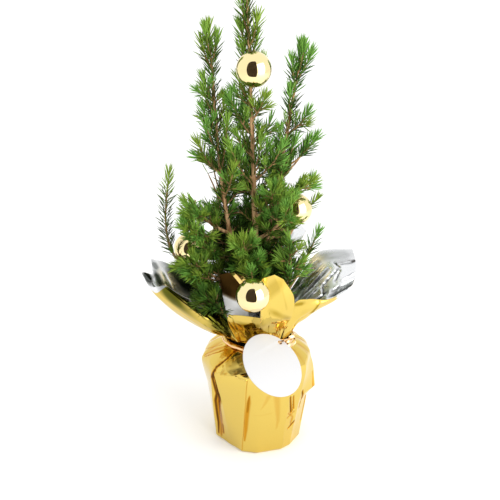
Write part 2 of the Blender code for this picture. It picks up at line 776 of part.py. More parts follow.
class Crowd:
    """Everything a twig or a needle has to stay clear of, as rods with a radius."""

    def __init__(self):
        self.rods = {}

    def add(self, owner, start, end, radius):
        self.rods.setdefault(owner, []).append((*start, *end, radius))

    def clearance(self, start, end, skip):
        """The least distance from a rod's axis to every other owner's surface."""
        rows = [rod for owner, rods in self.rods.items() if owner not in skip for rod in rods]
        if not rows:
            return 1e9
        data = np.array(rows)
        first, second, radius = data[:, 0:3], data[:, 3:6], data[:, 6]
        span = second - first
        size = np.maximum((span ** 2).sum(1), 1e-9)
        least = 1e9
        for k in range(9):
            point = np.array(start) + (np.array(end) - np.array(start)) * (k / 8)
            t = np.clip(((point - first) * span).sum(1) / size, 0, 1)
            gaps = np.linalg.norm(first + span * t[:, None] - point, axis=1) - radius
            least = min(least, float(gaps.min()))
        return least


def crowd_of(limbs, sheets):
    """Limbs, foil sheets, balls, tag and bag as rods."""
    crowd = Crowd()
    for name, limb in limbs.items():
        for k in range(24):
            t = k / 24
            crowd.add(name, limb.at(t), limb.at(t + 1 / 24), limb.radius(t) + 0.2)
    for name, rows in sheets.items():
        for row in refine([list(column) for column in zip(*rows)], 3, 3):
            for point in row:
                crowd.add(name, point, point, SHEET_GUARD)
    for centre in BALL_CENTRES:
        crowd.add("balls", Vector(centre), Vector(centre), BALL_RADIUS + 0.5)
    return crowd


# Masses of needles

def stem_of(rows, name, limbs):
    """The curve that a mass's own stem follows."""
    if name in BOUGH_MASSES or name in TOP_MASSES:
        parent = limbs[rows[0]]
        tip = Vector(rows[1])
        ahead = parent.along(1.0)
        root = parent.at(1.0) + ahead * (GAP / MM)
        elbow = root + ahead * (tip - root).length * 0.45
    else:
        parent = limbs[rows[0]]
        tip = Vector(rows[2])
        root = parent.at(parent.at_height(rows[1]))
        elbow = elbow_between(root, tip)
    first = min(parent.radii[1], SHOOT_RADIUS) if name not in LEADER_MASSES else SHOOT_RADIUS
    return Limb(root, elbow, tip, first, TWIG_TIP_RADIUS)


def turned_from(direction, angle, turn):
    """A direction at an angle from another and a turn round it."""
    side = direction.cross(Vector((0.31, 0.95, 0.05))).normalized()
    over = direction.cross(side)
    lean = math.radians(angle)
    turn = math.radians(turn)
    return direction * math.cos(lean) + (side * math.cos(turn) + over * math.sin(turn)) * math.sin(lean)


def needle_object(root, tip, width, group):
    """A three-sided needle whose foot lies at its root point."""
    ahead = (tip - root).normalized()
    side = ahead.cross(Vector((0.2, 0.1, 0.97))).normalized()
    over = ahead.cross(side)
    points = [tip * MM]
    for k in range(3):
        angle = math.tau * k / 3
        points.append((root + (side * math.cos(angle) + over * math.sin(angle)) * width / 2) * MM)
    item = add_object("needle", points, [(0, 1, 2), (0, 2, 3), (0, 3, 1), (3, 2, 1)])
    recalculate_normals(item)
    move_to(item, group)


def move_to(item, group):
    bpy.context.scene.collection.objects.unlink(item)
    group.objects.link(item)


class Mass:
    """One mass in the making: its rule's random numbers, its space and its loose pieces."""

    def __init__(self, name, crowd, axes):
        self.name = name
        self.crowd = crowd
        self.axes = axes
        self.rule = random.Random(f"{SEED}.{name}")
        self.group = bpy.data.collections.new(name)
        self.turn = self.rule.uniform(0, 360)

    def in_own_space(self, point):
        """True where the mass's own stems are nearer than any other mass's."""
        own = self.nearest(point, self.axes[self.name])
        others = (self.nearest(point, rods) for name, rods in self.axes.items() if name != self.name)
        return all(own < other for other in others)

    @staticmethod
    def nearest(point, samples):
        return float(np.linalg.norm(samples - np.array(point), axis=1).min())

    def fits(self, start, end, radius, skip=()):
        if not self.in_own_space(end):
            return False
        room = self.crowd.clearance(start, end, (self.name, *skip))
        return room >= radius + NEEDLE_CLEARANCE

    def needles(self, limb, begin, end, core, skip):
        """Needles round a stretch of stem, closing up into a brush at its tip."""
        length = limb.length()
        count = max(3, round(length * (end - begin) / NEEDLE_PITCH))
        for k in range(count):
            t = begin + (end - begin) * (k + 0.5) / count
            self.turn += NEEDLE_TURN + self.rule.uniform(-8, 8)
            near_tip = max(0.0, 1 - (1 - t) * length / 14.0) if end > 0.99 else 0.0
            angle = NEEDLE_ANGLE + (NEEDLE_TIP_ANGLE - NEEDLE_ANGLE) * near_tip
            direction = turned_from(limb.along(t), angle + self.rule.uniform(-5, 5), self.turn)
            self.one_needle(limb.at(t), direction, core, skip)

    def one_needle(self, root, direction, core, skip):
        length = NEEDLE_LENGTH * self.rule.uniform(0.85, 1.1) + core
        tip = root + direction * length
        start = root + direction * (core + 2.0)
        if self.fits(start, tip, NEEDLE_WIDTH / 2, skip):
            needle_object(root, tip, NEEDLE_WIDTH, self.group)
            self.crowd.add(self.name, start, tip, NEEDLE_WIDTH / 3)

    def side_shoot(self, limb, skip):
        """A twig with its own needles, fused to what it grows from."""
        twig = limb_tube("twig", limb, 0, 1, 2, 3)
        move_to(twig, self.group)
        for k in range(6):
            self.crowd.add(self.name, limb.at(k / 6), limb.at((k + 1) / 6), limb.radius(k / 6))
        self.needles(limb, 0.3, 1.0, 0.0, skip)

    def side_twigs(self, stem, count, skip):
        """Twigs off to alternate sides of the stem, shorter towards its tip."""
        for k in range(count):
            t = 0.2 + 0.5 * k / max(1, count)
            self.turn += 160 + self.rule.uniform(-20, 20)
            direction = turned_from(stem.along(t), TWIG_ANGLE, self.turn)
            direction.z = max(direction.z, -0.1)
            root = stem.at(t)
            tip = root + direction.normalized() * TWIG_LENGTH * (1.1 - 0.5 * t)
            shoot = Limb(root, root.lerp(tip, 0.5), tip, TWIG_RADIUS, TWIG_TIP_RADIUS)
            if self.fits(root.lerp(tip, 0.35), tip, TWIG_RADIUS, skip):
                self.side_shoot(shoot, skip)

    def join(self, core):
        """Fuse every piece to the core in one union."""
        if len(self.group.objects):
            boolean(core, "UNION", self.group)
        core.data.materials.clear()
        core.data.materials.append(make_material(f"needles.{self.name}"))
        core.data.shade_smooth()
        core.data.set_sharp_from_angle(angle=math.radians(50))


def shoot_on(leader, height, tip):
    root = leader.at(leader.at_height(height))
    return Limb(root, elbow_between(root, tip), tip, SHOOT_RADIUS, TWIG_TIP_RADIUS)


def sample(limb, start=0.0):
    steps = max(4, int(limb.length() / 4))
    return [tuple(limb.at(start + (1 - start) * k / steps)) for k in range(steps + 1)]


def mass_axes(limbs):
    """Points along the stems of every mass, which share out the crown's space."""
    axes = {}
    for table in (BOUGH_MASSES, LEADER_MASSES, TOP_MASSES):
        for name, row in table.items():
            axes[name] = sample(stem_of(row, name, limbs), 0.15)
    for name, (leader, low, high, shoots) in SLEEVES.items():
        limb = limbs[leader]
        first, last = limb.at_height(low), limb.at_height(high)
        points = [tuple(limb.at(first + (last - first) * k / 12)) for k in range(13)]
        for height, tip in shoots:
            points += sample(shoot_on(limb, height, tip), 0.2)
        axes[name] = points
    return {name: np.array(points) for name, points in axes.items()}


def make_spray(name, row, limbs, crowd, axes):
    """A mass on its own stem, which starts just clear of the limb that carries it."""
    stem = stem_of(row, name, limbs)
    parent = row[0]
    start = clear_start(stem, limbs[parent]) if name in LEADER_MASSES else 0.0
    core = limb_tube(name, stem, start, 1, 5, 4)
    for k in range(12):
        crowd.add(name, stem.at(k / 12), stem.at((k + 1) / 12), stem.radius(k / 12))
    mass = Mass(name, crowd, axes)
    begin = max(start, 0.0) + 0.08
    mass.needles(stem, begin, 1.0, 0.0, ())
    mass.side_twigs(stem, row[-1], ())
    mass.join(core)


def make_sleeve(name, row, limbs, crowd, axes):
    """A mass round a leader: a slim core cut clear of it, with needles and side shoots."""
    leader, low, high, shoots = row
    limb = limbs[leader]
    first, last = limb.at_height(low), limb.at_height(high)
    closed = high > limb.ends[2].z
    places = [first + (last - first) * k / 6 for k in range(7)]
    centres = [limb.at(t) for t in places]
    radii = [limb.radius(t) + GAP / MM + CORE_WALL for t in places]
    if closed:
        centres.append(limb.at(1.0) + limb.along(1.0) * 3.0)
        radii.append(1.0)
    core = tube(name, centres, radii, 7)
    mass = Mass(name, crowd, axes)
    skip = (leader,)
    mass.needles(limb, first + 0.01, last - 0.005, radii[0], skip)
    if closed:
        mass.needles(Limb(limb.at(0.985), limb.at(1.0), centres[-1], 1.0, 1.0), 0.1, 1.0, 0.5, skip)
    for height, tip in shoots:
        shoot = shoot_on(limb, height, tip)
        for k in range(12):
            crowd.add(name, shoot.at(k / 12), shoot.at((k + 1) / 12), shoot.radius(k / 12))
        move_to(limb_tube("shoot", shoot, 0, 1, 3, 4), mass.group)
        mass.needles(shoot, 0.22, 1.0, 0.0, skip)
    mass.join(core)
    reach = min(1.0, last + 0.05)
    begin = max(0.0, first - 0.05)
    steps = [begin + (reach - begin) * k / 9 for k in range(10)]
    cut_centres = [limb.at(t) for t in steps]
    cut_radii = [limb.radius(t) + 0.36 for t in steps]
    if closed:
        cut_centres.append(limb.at(1.0) + limb.along(1.0) * 0.5)
        cut_radii.append(cut_radii[-1])
    boolean(core, "DIFFERENCE", tube("cutter", cut_centres, cut_radii, 10))


def make_masses(limbs, sheets):
    crowd = crowd_of(limbs, sheets)
    axes = mass_axes(limbs)
    for table in (BOUGH_MASSES, LEADER_MASSES, TOP_MASSES):
        for name, row in table.items():
            make_spray(name, row, limbs, crowd, axes)
    for name, row in SLEEVES.items():
        make_sleeve(name, row, limbs, crowd, axes)


def main():
    for item in list(bpy.data.objects):
        bpy.data.objects.remove(item)
    make_pot()
    make_compost()
    make_bag()
    sheets = foil_sheets()
    make_sheets(sheets)
    make_tie()
    make_knot()
    make_tag()
    limbs, starts = grow_limbs()
    make_limbs(limbs, starts)
    make_masses(limbs, sheets)


main()
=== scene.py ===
"""The looks of a small potted conifer in gift wrap, made around its solids.

Each operator makes one piece or one group of like pieces. Metres, +Z up, -Y is the front. The tables
are in millimetres and repeat the solids' driving sizes. An azimuth is measured from the front
towards +X.
"""

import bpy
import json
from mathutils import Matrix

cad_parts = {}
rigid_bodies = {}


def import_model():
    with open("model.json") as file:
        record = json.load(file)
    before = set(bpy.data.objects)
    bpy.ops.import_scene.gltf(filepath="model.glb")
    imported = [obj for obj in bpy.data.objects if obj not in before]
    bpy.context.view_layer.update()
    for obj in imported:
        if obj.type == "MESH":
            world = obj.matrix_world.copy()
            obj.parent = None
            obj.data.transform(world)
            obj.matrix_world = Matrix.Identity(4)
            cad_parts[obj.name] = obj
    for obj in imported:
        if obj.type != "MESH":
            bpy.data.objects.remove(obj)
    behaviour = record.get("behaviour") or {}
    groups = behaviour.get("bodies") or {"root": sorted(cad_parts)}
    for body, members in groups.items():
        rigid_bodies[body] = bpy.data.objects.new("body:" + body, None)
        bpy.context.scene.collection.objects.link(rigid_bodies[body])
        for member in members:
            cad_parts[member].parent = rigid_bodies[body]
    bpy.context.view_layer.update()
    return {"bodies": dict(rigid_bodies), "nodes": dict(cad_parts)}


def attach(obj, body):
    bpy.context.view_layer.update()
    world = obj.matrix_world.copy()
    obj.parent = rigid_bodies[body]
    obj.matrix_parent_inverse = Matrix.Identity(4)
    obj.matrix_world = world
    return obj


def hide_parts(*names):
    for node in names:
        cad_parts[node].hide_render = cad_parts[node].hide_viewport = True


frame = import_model()

import json
import math
import random

import bmesh
import bpy
from bpy.props import FloatProperty, FloatVectorProperty, IntProperty, PointerProperty
from mathutils import Matrix, Vector, noise
from mathutils.kdtree import KDTree

bl_info = {
    "name": "Gift Spruce",
    "version": (1, 0, 0),
    "blender": (4, 5, 0),
    "location": "View3D > Sidebar > Spruce",
    "description": "A young potted conifer in metallised gift wrap, with needles, balls and a tag",
    "category": "Object",
}

MM = 0.001

# Camera
CAMERA_PLACE = (-0.0075, -0.70, 0.46)
CAMERA_PITCH = 20.7
CAMERA_LENS = 57.6

# Pot, compost and bag, as in the solids
POT_FLOOR_Z = 1.3
POT_BASE_RADIUS = 37.0
POT_RIM_RADIUS = 48.6
POT_RIM_LOW = 76.0
POT_TOP = 85.0
POT_WALL_TOP_RADIUS = 47.4
COMPOST_TOP = 78.5
COMPOST_RADIUS = 44.6
BAG_NECK = 33.0
BAG_PROFILE = [
    (0.0, 41.5), (2.0, 43.2), (20.0, 45.6), (48.0, 49.8), (57.0, 51.0), (76.0, 53.9), (86.0, 54.2),
    (93.0, 50.5), (99.5, 43.0), (103.2, 36.4), (105.2, BAG_NECK + 0.4), (107.2, BAG_NECK),
    (109.8, BAG_NECK + 0.2),
]
# Long creases: azimuth at the foot, at BAG_MIDDLE and at the shoulder, then how far each stands out
# of the profile at BAG_MIDDLE and at the shoulder
BAG_MIDDLE = 57.0
BAG_SHOULDER = 86.0
BAG_CREASES = [
    (-92, -88, -84, -1.2, 0.6),
    (-74, -60, -53, 0.0, 0.4),
    (-21.3, -14.5, -11.5, 0.0, 0.4),
    (-1, 3, 7, -0.4, 0.0),
    (33, 35, 38, 0.0, 0.0),
    (47, 52, 60, 0.0, -1.0),
    (74, 80, 86, 6.4, -1.8),
    (104, 106, 108, -1.0, -1.2),
    (138, 138, 138, 0.0, 0.4),
    (172, 174, 176, 0.0, 0.4),
    (210, 212, 214, 0.0, 0.4),
    (240, 242, 246, 0.0, 0.4),
]
BAG_CORNER_FADE = 9.0
BAG_STEPS_PER_FACET = 3
# The open fold on the left: azimuths at foot and shoulder of its deepest line and of its right edge,
# and its depth at the heights of the profile where it is open
FOLD_VALLEY = (-66.0, -51.8)
FOLD_EDGE = (-43.5, -50.4)
FOLD_DEPTHS = {20.0: 2.2, 48.0: 3.4, 57.0: 3.6, 76.0: 2.0}

# The film's own mesh: steps between two of the solids' columns, and the height of its rows
BAG_FINE_STEPS = 8
BAG_ROW_STEP = 1.05
BAG_SMOOTH_ABOVE = 76.0
BAG_ARC = 0.87
# Folds pressed into the film: a path of (azimuth, height, half width), the depth, and how far painted
# shade and reflection turn it from gold to brown there; those with no depth are painted lines only
BAG_PRESSES = [
    (((-54, 78, 0.8), (-57, 57, 1.1), (-60, 48, 1.2), (-65, 20, 1.6), (-68, 6, 1.4)), 0.0, 0.95),
    (((-54, 66, 0.8), (-57, 48, 2.2), (-60, 22, 4.2), (-63, 6, 2.6)), 0.0, 0.62),
    (((-54, 60, 0.5), (-54.5, 40, 0.8), (-55, 22, 1.0), (-58, 10, 1.8)), 0.0, 0.85),
    (((-27, 109, 1.2), (-38, 104, 1.4), (-44, 96, 1.5), (-48.3, 90.7, 1.6), (-54, 78, 1.6)), 0.4, 0.95),
    (((-10.6, 87, 0.6), (-12.7, 65, 0.6), (-15.5, 41, 0.6), (-20.5, 3, 0.6)), 0.5, 0.35),
    (((-8.6, 70, 0.8), (-9.8, 62, 2.6), (-12.3, 47, 3.0), (-14.3, 30, 2.7), (-16.5, 15, 1.2)), 0.3, 0.42),
    (((-9.2, 68, 1.0), (-10.4, 60, 1.9), (-11.7, 50, 1.2)), 0.3, 0.66),
    (((11.1, 67.5, 2.9), (7.5, 60, 1.9), (3.2, 54, 0.6)), 0.5, 0.13),
    (((-4.5, 47, 0.9), (15.7, 47.5, 0.9)), 0.25, 0.06),
    (((20.7, 66, 4.2), (23, 50, 3.4), (24.7, 37, 2.3), (23.5, 27, 0.7)), 0.5, 0.17),
    (((37, 62, 1.3), (41, 43, 1.9)), 1.1, 0.8),
    (((42, 61, 1.2), (44.5, 45, 1.6)), 1.0, 0.6),
    (((37.5, 64, 0.8), (44, 69, 0.8)), 0.7, 0.9),
    (((57, 61, 1.6), (59.5, 52, 2.1), (57, 42, 1.0)), 1.3, 1.0),
    (((36, 38, 1.5), (46, 42, 1.5)), 0.5, 0.3),
    (((37, 43, 1.4), (45, 36, 1.4)), 0.5, 0.35),
    (((44, 34, 2.6), (43, 28, 1.8)), 0.5, 0.35),
    (((40, 24, 1.3), (49, 29, 1.6)), 0.7, 0.8),
    (((33, 4, 0.9), (32.8, 32, 0.9)), -0.5, 0.0),
    (((-52, 84, 0.9), (-40, 87, 0.9), (-30, 90.6, 1.0), (-24, 88, 1.0), (-11, 86.8, 0.9)), -0.6, 0.0),
    (((-55.5, 106, 1.6), (-69, 99, 2.2), (-80, 90, 1.4)), 0.5, 0.36),
    (((-50, 104, 0.6), (-64, 98, 0.8), (-78, 89, 0.6)), 0.6, 0.55), (((-70, 103, 0.5), (-88, 93, 0.6)), 0.6, 0.5),
    (((-57, 103, 1.5), (-45, 101, 3.2), (-34, 106, 1.6)), 0.2, 0.34),
    (((-39, 89, 1.5), (-35, 95, 4.5), (-28, 98, 6.5), (-17, 97, 6.5)), 0.1, 0.36),
    (((-38, 90, 0.8), (-30, 94, 1.0), (-22, 92, 0.8)), 0.15, 0.72),
    (((-35, 97, 0.8), (-30, 93, 1.0), (-24, 98, 1.0), (-16, 95, 0.8)), -0.15, 0.68),
    (((-27, 103, 0.8), (-24, 96, 1.1), (-15, 91, 1.0)), 0.15, 0.75),
    (((80, 72, 1.2), (76, 45, 3.0), (72, 18, 1.6)), 1.6, 0.4),
    (((119, 80, 2.0), (121, 55, 3.4), (118, 28, 1.5)), 2.0, 0.4),
    (((157, 68, 1.0), (158, 40, 3.6), (160, 8, 3.0)), 2.2, 0.5),
    (((194, 80, 3.0), (195, 50, 3.0), (194, 20, 1.2)), 2.0, 0.4),
    (((229, 72, 1.4), (230, 45, 3.4), (232, 12, 3.0)), 2.2, 0.5),
    (((267, 79, 2.6), (269, 55, 2.6), (270, 30, 1.2)), 1.6, 0.4),
]
# The crumpled leaf in front: its azimuths, its profile's foot radius, its top as (height, radius) and
# the slope between them, and the size and depth of its creases
LEAF_SPAN = (-52.0, 32.0)
LEAF_FADE = 4.0
LEAF_FOOT = 54.2
LEAF_TOP = (99.5, 43.0)
LEAF_SLOPE = 1.3
LEAF_CREASE = 9.0
LEAF_CRUSH = 0.55
END_ROUGHNESS = 0.36
RIDGE_SEED = 7
RIDGE_FOOT = 87.0
CALM_SHOULDER = (-62, 20)
RIDGE_FULL = 98.0

# Foil corners, as in the solids
NECK_RADIUS = 31.2
NECK_TOP = 111.4
FOIL_PETALS = {
    "foil_left": [
        (-36, (-35, -22, 138), (-54, -19, 148), (-75, -20, 160), (-86, -20, 167)),
        (-50, (-44, -33, 136), (-64, -33, 154), (-82, -28, 167), (-89, -24, 169)),
        (-68, (-46, -27, 126), (-72, -24, 143.5), (-90, -20, 156.5), (-101, -13, 165)),
        (-94, (-48, -10, 121), (-76, -9, 136), (-98, -8, 157), (-108, -5, 175)),
        (-122, (-44, 14, 133), (-76, 14, 147), (-96, 11, 160), (-101, 9, 168)),
        (-148, (-38, 28, 146), (-66, 33, 158), (-92, 34, 170), (-104, 27, 176)),
    ],
    "foil_right": [
        (44, (33, -27, 152), (46, -25, 156), (60, -16, 152), (76, -2, 148)),
        (66, (39, -21, 134), (53, -19, 144), (69, -10, 149), (85, 5, 151)),
        (92, (44, -8, 127), (60, -5, 138), (77, 2, 147), (94, 18, 157)),
        (118, (40, 14, 136), (57, 20, 150), (76, 29, 163), (97, 34, 168)),
        (146, (32, 27, 140), (44, 35, 156), (62, 50, 174), (95, 47, 178)),
    ],
    "foil_front": [
        (-36, (-25, -30, 127), (-27, -35, 135), (-28, -39, 142), (-27, -43, 149)),
        (-18, (-12, -36, 127), (-13, -42, 136), (-14, -46, 144), (-14, -49, 151)),
        (0, (1, -37, 128), (2, -44, 137), (2, -49, 145), (2, -52, 150)),
        (13, (10, -36, 130), (12, -46, 147), (9, -50, 168), (3, -52, 188)),
        (26, (18, -33, 130), (22, -42, 146), (22, -47.5, 168), (14, -52, 192)),
        (39, (25, -28, 129), (31, -36, 145), (32, -42, 166), (22, -48, 186)),
    ],
    "foil_back": [
        (150, (22, 40, 136), (36, 58, 164), (51, 78, 186)),
        (169, (8, 44, 138), (22, 66, 168), (42, 84, 190)),
        (188, (-6, 42, 134), (4, 60, 158), (18, 76, 176)),
        (206, (-17, 36, 130), (-15, 47, 147), (-10, 56, 158)),
    ],
}
FLAP_COLUMNS = [
    [(-18, -20, 114), (-27, -27, 135), (-32, -31, 160), (-35, -33, 184)],
    [(-12, -23, 114), (-20, -29, 135), (-24, -34, 160), (-26, -35, 187)],
    [(-6, -25, 114), (-10, -31, 135), (-13, -36, 160), (-14, -37, 186)],
    [(0, -26, 114), (-1, -31, 135), (-3, -37, 155), (-4, -39, 172)],
    [(6, -26, 114), (8, -31, 133), (9, -36, 149), (9, -38, 161)],
    [(11, -24, 114), (14, -29, 132), (16, -33, 146), (17, -35, 156)],
]
# Sheets whose columns run so that their first face is the inside
SILVER_FIRST = ("foil_left", "foil_front_flap")
SHEET_STEPS = 22
# Colours of painted shade and reflection half way into a fold and at its bottom, for each side
GOLD_PAINTED_FOLD_SHADE = ((0.56, 0.25, 0.012), (0.085, 0.034, 0.008))
CORNER_PAINTED_FOLD_SHADE = ((0.115, 0.115, 0.011), (0.022, 0.018, 0.004))
FRONT_PAINTED_FOLD_SHADE = ((0.36, 0.235, 0.014), (0.075, 0.040, 0.006))
SILVER_PAINTED_FOLD_SHADE = ((0.30, 0.31, 0.31), (0.022, 0.032, 0.020))
# White of the flap's inside where its folds are light: a painted reflection of the white floor
FLAP_PAINTED_REFLECTION = (0.97, 0.97, 0.97)
FLAP_PAINTED_FOLD_SHADE = ((0.34, 0.26, 0.16), (0.090, 0.045, 0.010))
# How far across the flap its inside is pale film, a painted reflection of the white floor
FLAP_PAINTED_REFLECTION_SHARE = 0.45
# How far up the left corner's outside its turned over end begins
LEFT_END = 0.84
# How each sheet is crumpled: creases per span across and up and their depth, pleats per span at the
# neck and their depth
CRUMPLES = {
    "foil_left": (0.7, 0.35, 0.35, 1.7, 0.8),
    "foil_right": (1.4, 0.6, 0.4, 1.3, 0.6),
    "foil_front": (1.0, 0.7, 0.1, 0.8, 0.15),
    "foil_back": (1.0, 0.7, 1.0, 2.5, 1.4),
    "foil_front_flap": (0.8, 0.5, 0.1, 0.0, 0.0),
    "ribbon_end": (1.2, 0.8, 0.2, 0.0, 0.0),
}
# Painted shade at the bottom of the neck's pleats, as a share of their depth
PLEAT_SHADE = 0.3
# Where in the noise the film's and the twigs' wandering lines are read
DRIFT_STARTS = ((31.7, 12.3, 5.9), (41.0, 10.8, -2.1), (38.0, 12.5, 3.2))
# How far across the sheet a crease reaches past its own ends
CREASE_SPAN = 0.25
# Sheets that are flat between their columns
FLAT_ACROSS = ("foil_front", "foil_front_flap", "ribbon_end")
# Straight creases of each sheet: both ends across and up its grid, the half width, the height towards
# the first face, and how dark painted shade and reflection turn it; those with no height are painted only
SHEET_CREASES = {
    "foil_right": [
        ((0.75, 0.31), (0.80, 0.70), 2.4, 1.3, 0.6), ((0.62, 0.55), (0.69, 0.57), 1.5, 1.2, 0.5),
        ((0.69, 0.56), (0.75, 0.79), 1.6, 1.6, 0.7), ((0.655, 0.72), (0.73, 0.81), 1.6, 1.5, 0.6),
        ((0.60, 0.66), (0.51, 1.0), 1.9, 1.8, 0.7), ((0.57, 0.62), (0.45, 1.0), 3.2, 2.4, 0.8),
        ((0.96, 0.42), (0.885, 0.66), 1.4, 0.4, 0.3), ((0.96, 0.58), (0.92, 0.71), 3.2, 0.6, 0.4),
        ((0.83, 0.78), (0.75, 0.82), 1.1, 0.8, 0.7), ((0.60, 0.33), (0.62, 0.60), 1.8, 1.6, 0.7),
        ((0.84, 0.32), (0.855, 0.69), 1.0, 0.3, 0.45), ((0.90, 0.34), (0.875, 0.69), 0.9, -0.25, 0.35),
        ((0.958, 0.36), (0.90, 0.69), 1.0, 0.3, 0.4), ((0.79, 0.32), (0.83, 0.69), 0.9, -0.25, 0.35),
        ((0.67, 0.28), (0.70, 0.52), 1.4, -1.2, 0.6), ((0.85, 0.22), (0.88, 0.55), 1.6, 0.4, 0.25),
        ((0.93, 0.20), (0.96, 0.46), 1.4, -0.3, 0.2), ((0.64, 0.80), (0.62, 1.0), 1.4, -1.2, 0.3),
        ((0.01, 0.25), (0.07, 0.40), 3.0, 0.4, 0.4), ((0.15, 0.61), (0.33, 0.41), 2.0, 1.5, 0.6),
        ((0.80, 0.80), (0.78, 1.0), 2.0, 1.2, 0.3), ((0.90, 0.78), (0.93, 0.95), 2.6, -0.4, 0.25),
        ((0.97, 0.70), (0.90, 0.98), 9.0, 0.0, 0.26), ((0.80, 0.98), (0.84, 0.80), 5.0, 0.0, 0.22),
    ],
    "foil_front": [
        ((0.125, 0.34), (0.20, 0.15), 1.6, 0.5, 0.5), ((0.575, 0.60), (0.62, 0.15), 0.9, -0.3, 0.5),
        ((0.60, 0.60), (1.0, 0.43), 4.0, 0.0, 0.30), ((0.12, 0.62), (0.42, 0.50), 6.0, 0.0, 0.45),
        ((0.50, 1.0), (1.0, 1.0), 9.0, 0.0, 0.22), ((0.0, 0.75), (0.05, 0.20), 1.5, -0.5, 0.6),
        ((0.07, 0.80), (0.10, 0.25), 1.5, -0.5, 0.5), ((0.30, 0.60), (0.33, 0.15), 3.0, -0.4, 0.25),
        ((0.44, 0.70), (0.45, 0.12), 2.4, -0.3, 0.2), ((0.86, 0.60), (0.84, 0.90), 1.6, -0.3, 0.15),
        ((0.22, 0.45), (0.28, 0.24), 1.5, 0.4, 0.5),
    ],
    "foil_left": [
        ((0.06, 0.15), (0.12, 0.97), 10.0, 0.0, 1.0), ((0.82, 0.10), (0.90, 0.45), 17.0, 0.0, 1.0),
        ((0.84, 0.40), (0.99, 0.70), 12.0, 0.0, 1.0), ((0.76, 0.68), (0.86, 0.88), 6.0, 0.0, 1.0),
        ((0.90, 0.84), (0.96, 0.97), 6.0, 0.0, 0.6), ((0.60, 0.98), (0.72, 0.84), 7.0, 0.0, 0.8),
        ((0.56, 0.96), (0.67, 0.84), 1.4, 0.7, 0.9), ((0.64, 1.0), (0.71, 0.86), 1.2, -0.7, 0.9),
        ((0.117, 0.36), (0.083, 0.08), 2.2, -2.2, 0.85), ((0.20, 0.34), (0.15, 0.06), 1.4, -1.4, 0.7),
        ((0.30, 0.30), (0.24, 0.06), 1.2, 1.0, 0.5), ((0.79, 0.58), (0.92, 0.74), 2.4, 1.2, 0.1),
        ((0.72, 0.95), (0.66, 0.62), 2.4, 1.0, 0.3),
    ],
    "foil_front_flap": [
        ((0.0, 1.0), (0.45, 0.90), 19.5, 0.0, 3.0), ((0.18, 0.26), (0.85, 0.34), 1.6, -1.2, 0.3),
        ((0.45, 0.30), (0.55, 0.45), 1.4, 1.2, 0.2), ((0.70, 0.25), (0.78, 0.50), 1.2, -1.0, 0.3),
    ],
    "ribbon_end": [
        ((0.10, 0.10), (0.95, 0.45), 1.8, 0.5, 0.4), ((0.20, 0.55), (0.85, 0.75), 1.6, -0.5, 0.5),
        ((0.05, 0.75), (0.60, 0.95), 1.6, 0.5, 0.4), ((0.40, 0.05), (0.55, 0.95), 1.4, -0.4, 0.3),
    ],
    "foil_back": [
        ((0.2, 0.3), (0.3, 0.9), 2.0, 1.4, 0.5), ((0.6, 0.2), (0.55, 0.8), 2.2, -1.6, 0.5),
    ],
}

# Tie, knot, ribbon end and tag, as in the solids
TIE_HEIGHT = 107.2
TIE_RADIUS = 34.85
TIE_WAVES = 16
KNOT_CENTRE = (26.8, -27.8, 113.6)
RIBBON_COLUMNS = [
    [(-20, 105.6, 3.8), (-31, 102.8, 4.0), (-38, 97.0, 3.8), (-39, 90.0, 3.2)],
    [(-10, 103.0, 5.2), (-21, 99.0, 5.8), (-32, 94.0, 5.6), (-38, 88.6, 4.4)],
    [(-1, 99.0, 3.6), (-13, 94.0, 4.0), (-26, 90.0, 3.8), (-37, 87.0, 3.2)],
]
TAG_CENTRE = (13.0, -60.3, 107.3)
TAG_NORMAL = (0.503, -0.456, 0.735)
TAG_RADIUS = 31.0
TAG_THICKNESS = 0.6
TAG_HOLE_RADIUS = 2.2
TAG_HOLE_OFFSET = 27.2
TAG_HOLE_TURN = 33.0

# Limbs and masses, as in the solids
LEADERS = {
    "trunk": ((1, 0, 78.8), (-3, 2, 250), (-10.3, 0, 428), 4.6, 1.1),
    "stem_left": ((0, 0, 95), (-33, 0, 200), (-40, 5, 352), 3.2, 1.6),
    "stem_right": ((0, 0, 150), (17, 8, 250), (31, 10, 338), 2.9, 1.5),
}
LEADER_PARENTS = {"stem_left": "trunk", "stem_right": "trunk"}
FLARE_EXTRA = 2.6
FLARE_FADE = 10.0
BOUGHS = {
    "bough_left_outer": ("stem_left", 118, (-79, 6, 188)),
    "bough_left_upper": ("stem_left", 212, (-48, -8, 229)),
    "bough_left_middle": ("stem_left", 182, (-50, -18, 213)),
    "bough_left_low": ("stem_left", 160, (-46, -26, 184)),
    "bough_left_front": ("stem_left", 114, (-34, -30, 149)),
    "bough_right_upper": ("trunk", 228, (13, -8, 243)),
    "bough_right_middle": ("trunk", 206, (22, -18, 232)),
    "bough_right_outer": ("trunk", 118, (47, 13, 184)),
    "bough_right_inner": ("trunk", 130, (27, -18, 168)),
    "bough_right_back": ("stem_right", 200, (34, 20, 241)),
    "bough_right_rear": ("trunk", 172, (36, 30, 210)),
    "bough_front": ("trunk", 166, (-9, -22, 190)),
    "bough_back_left": ("stem_left", 200, (-36, 30, 230)),
    "bough_back_right": ("trunk", 215, (12, 30, 245)),
    "bough_back_low_left": ("trunk", 140, (-22, 37, 168)),
    "bough_back_low_right": ("trunk", 156, (12, 36, 186)),
}
BARK_SWELL = 0.84
BOUGH_ROOT_RADIUS = 2.0
BOUGH_END_RADIUS = 1.3
ELBOW_OUT = 0.6
ELBOW_UP = 0.35
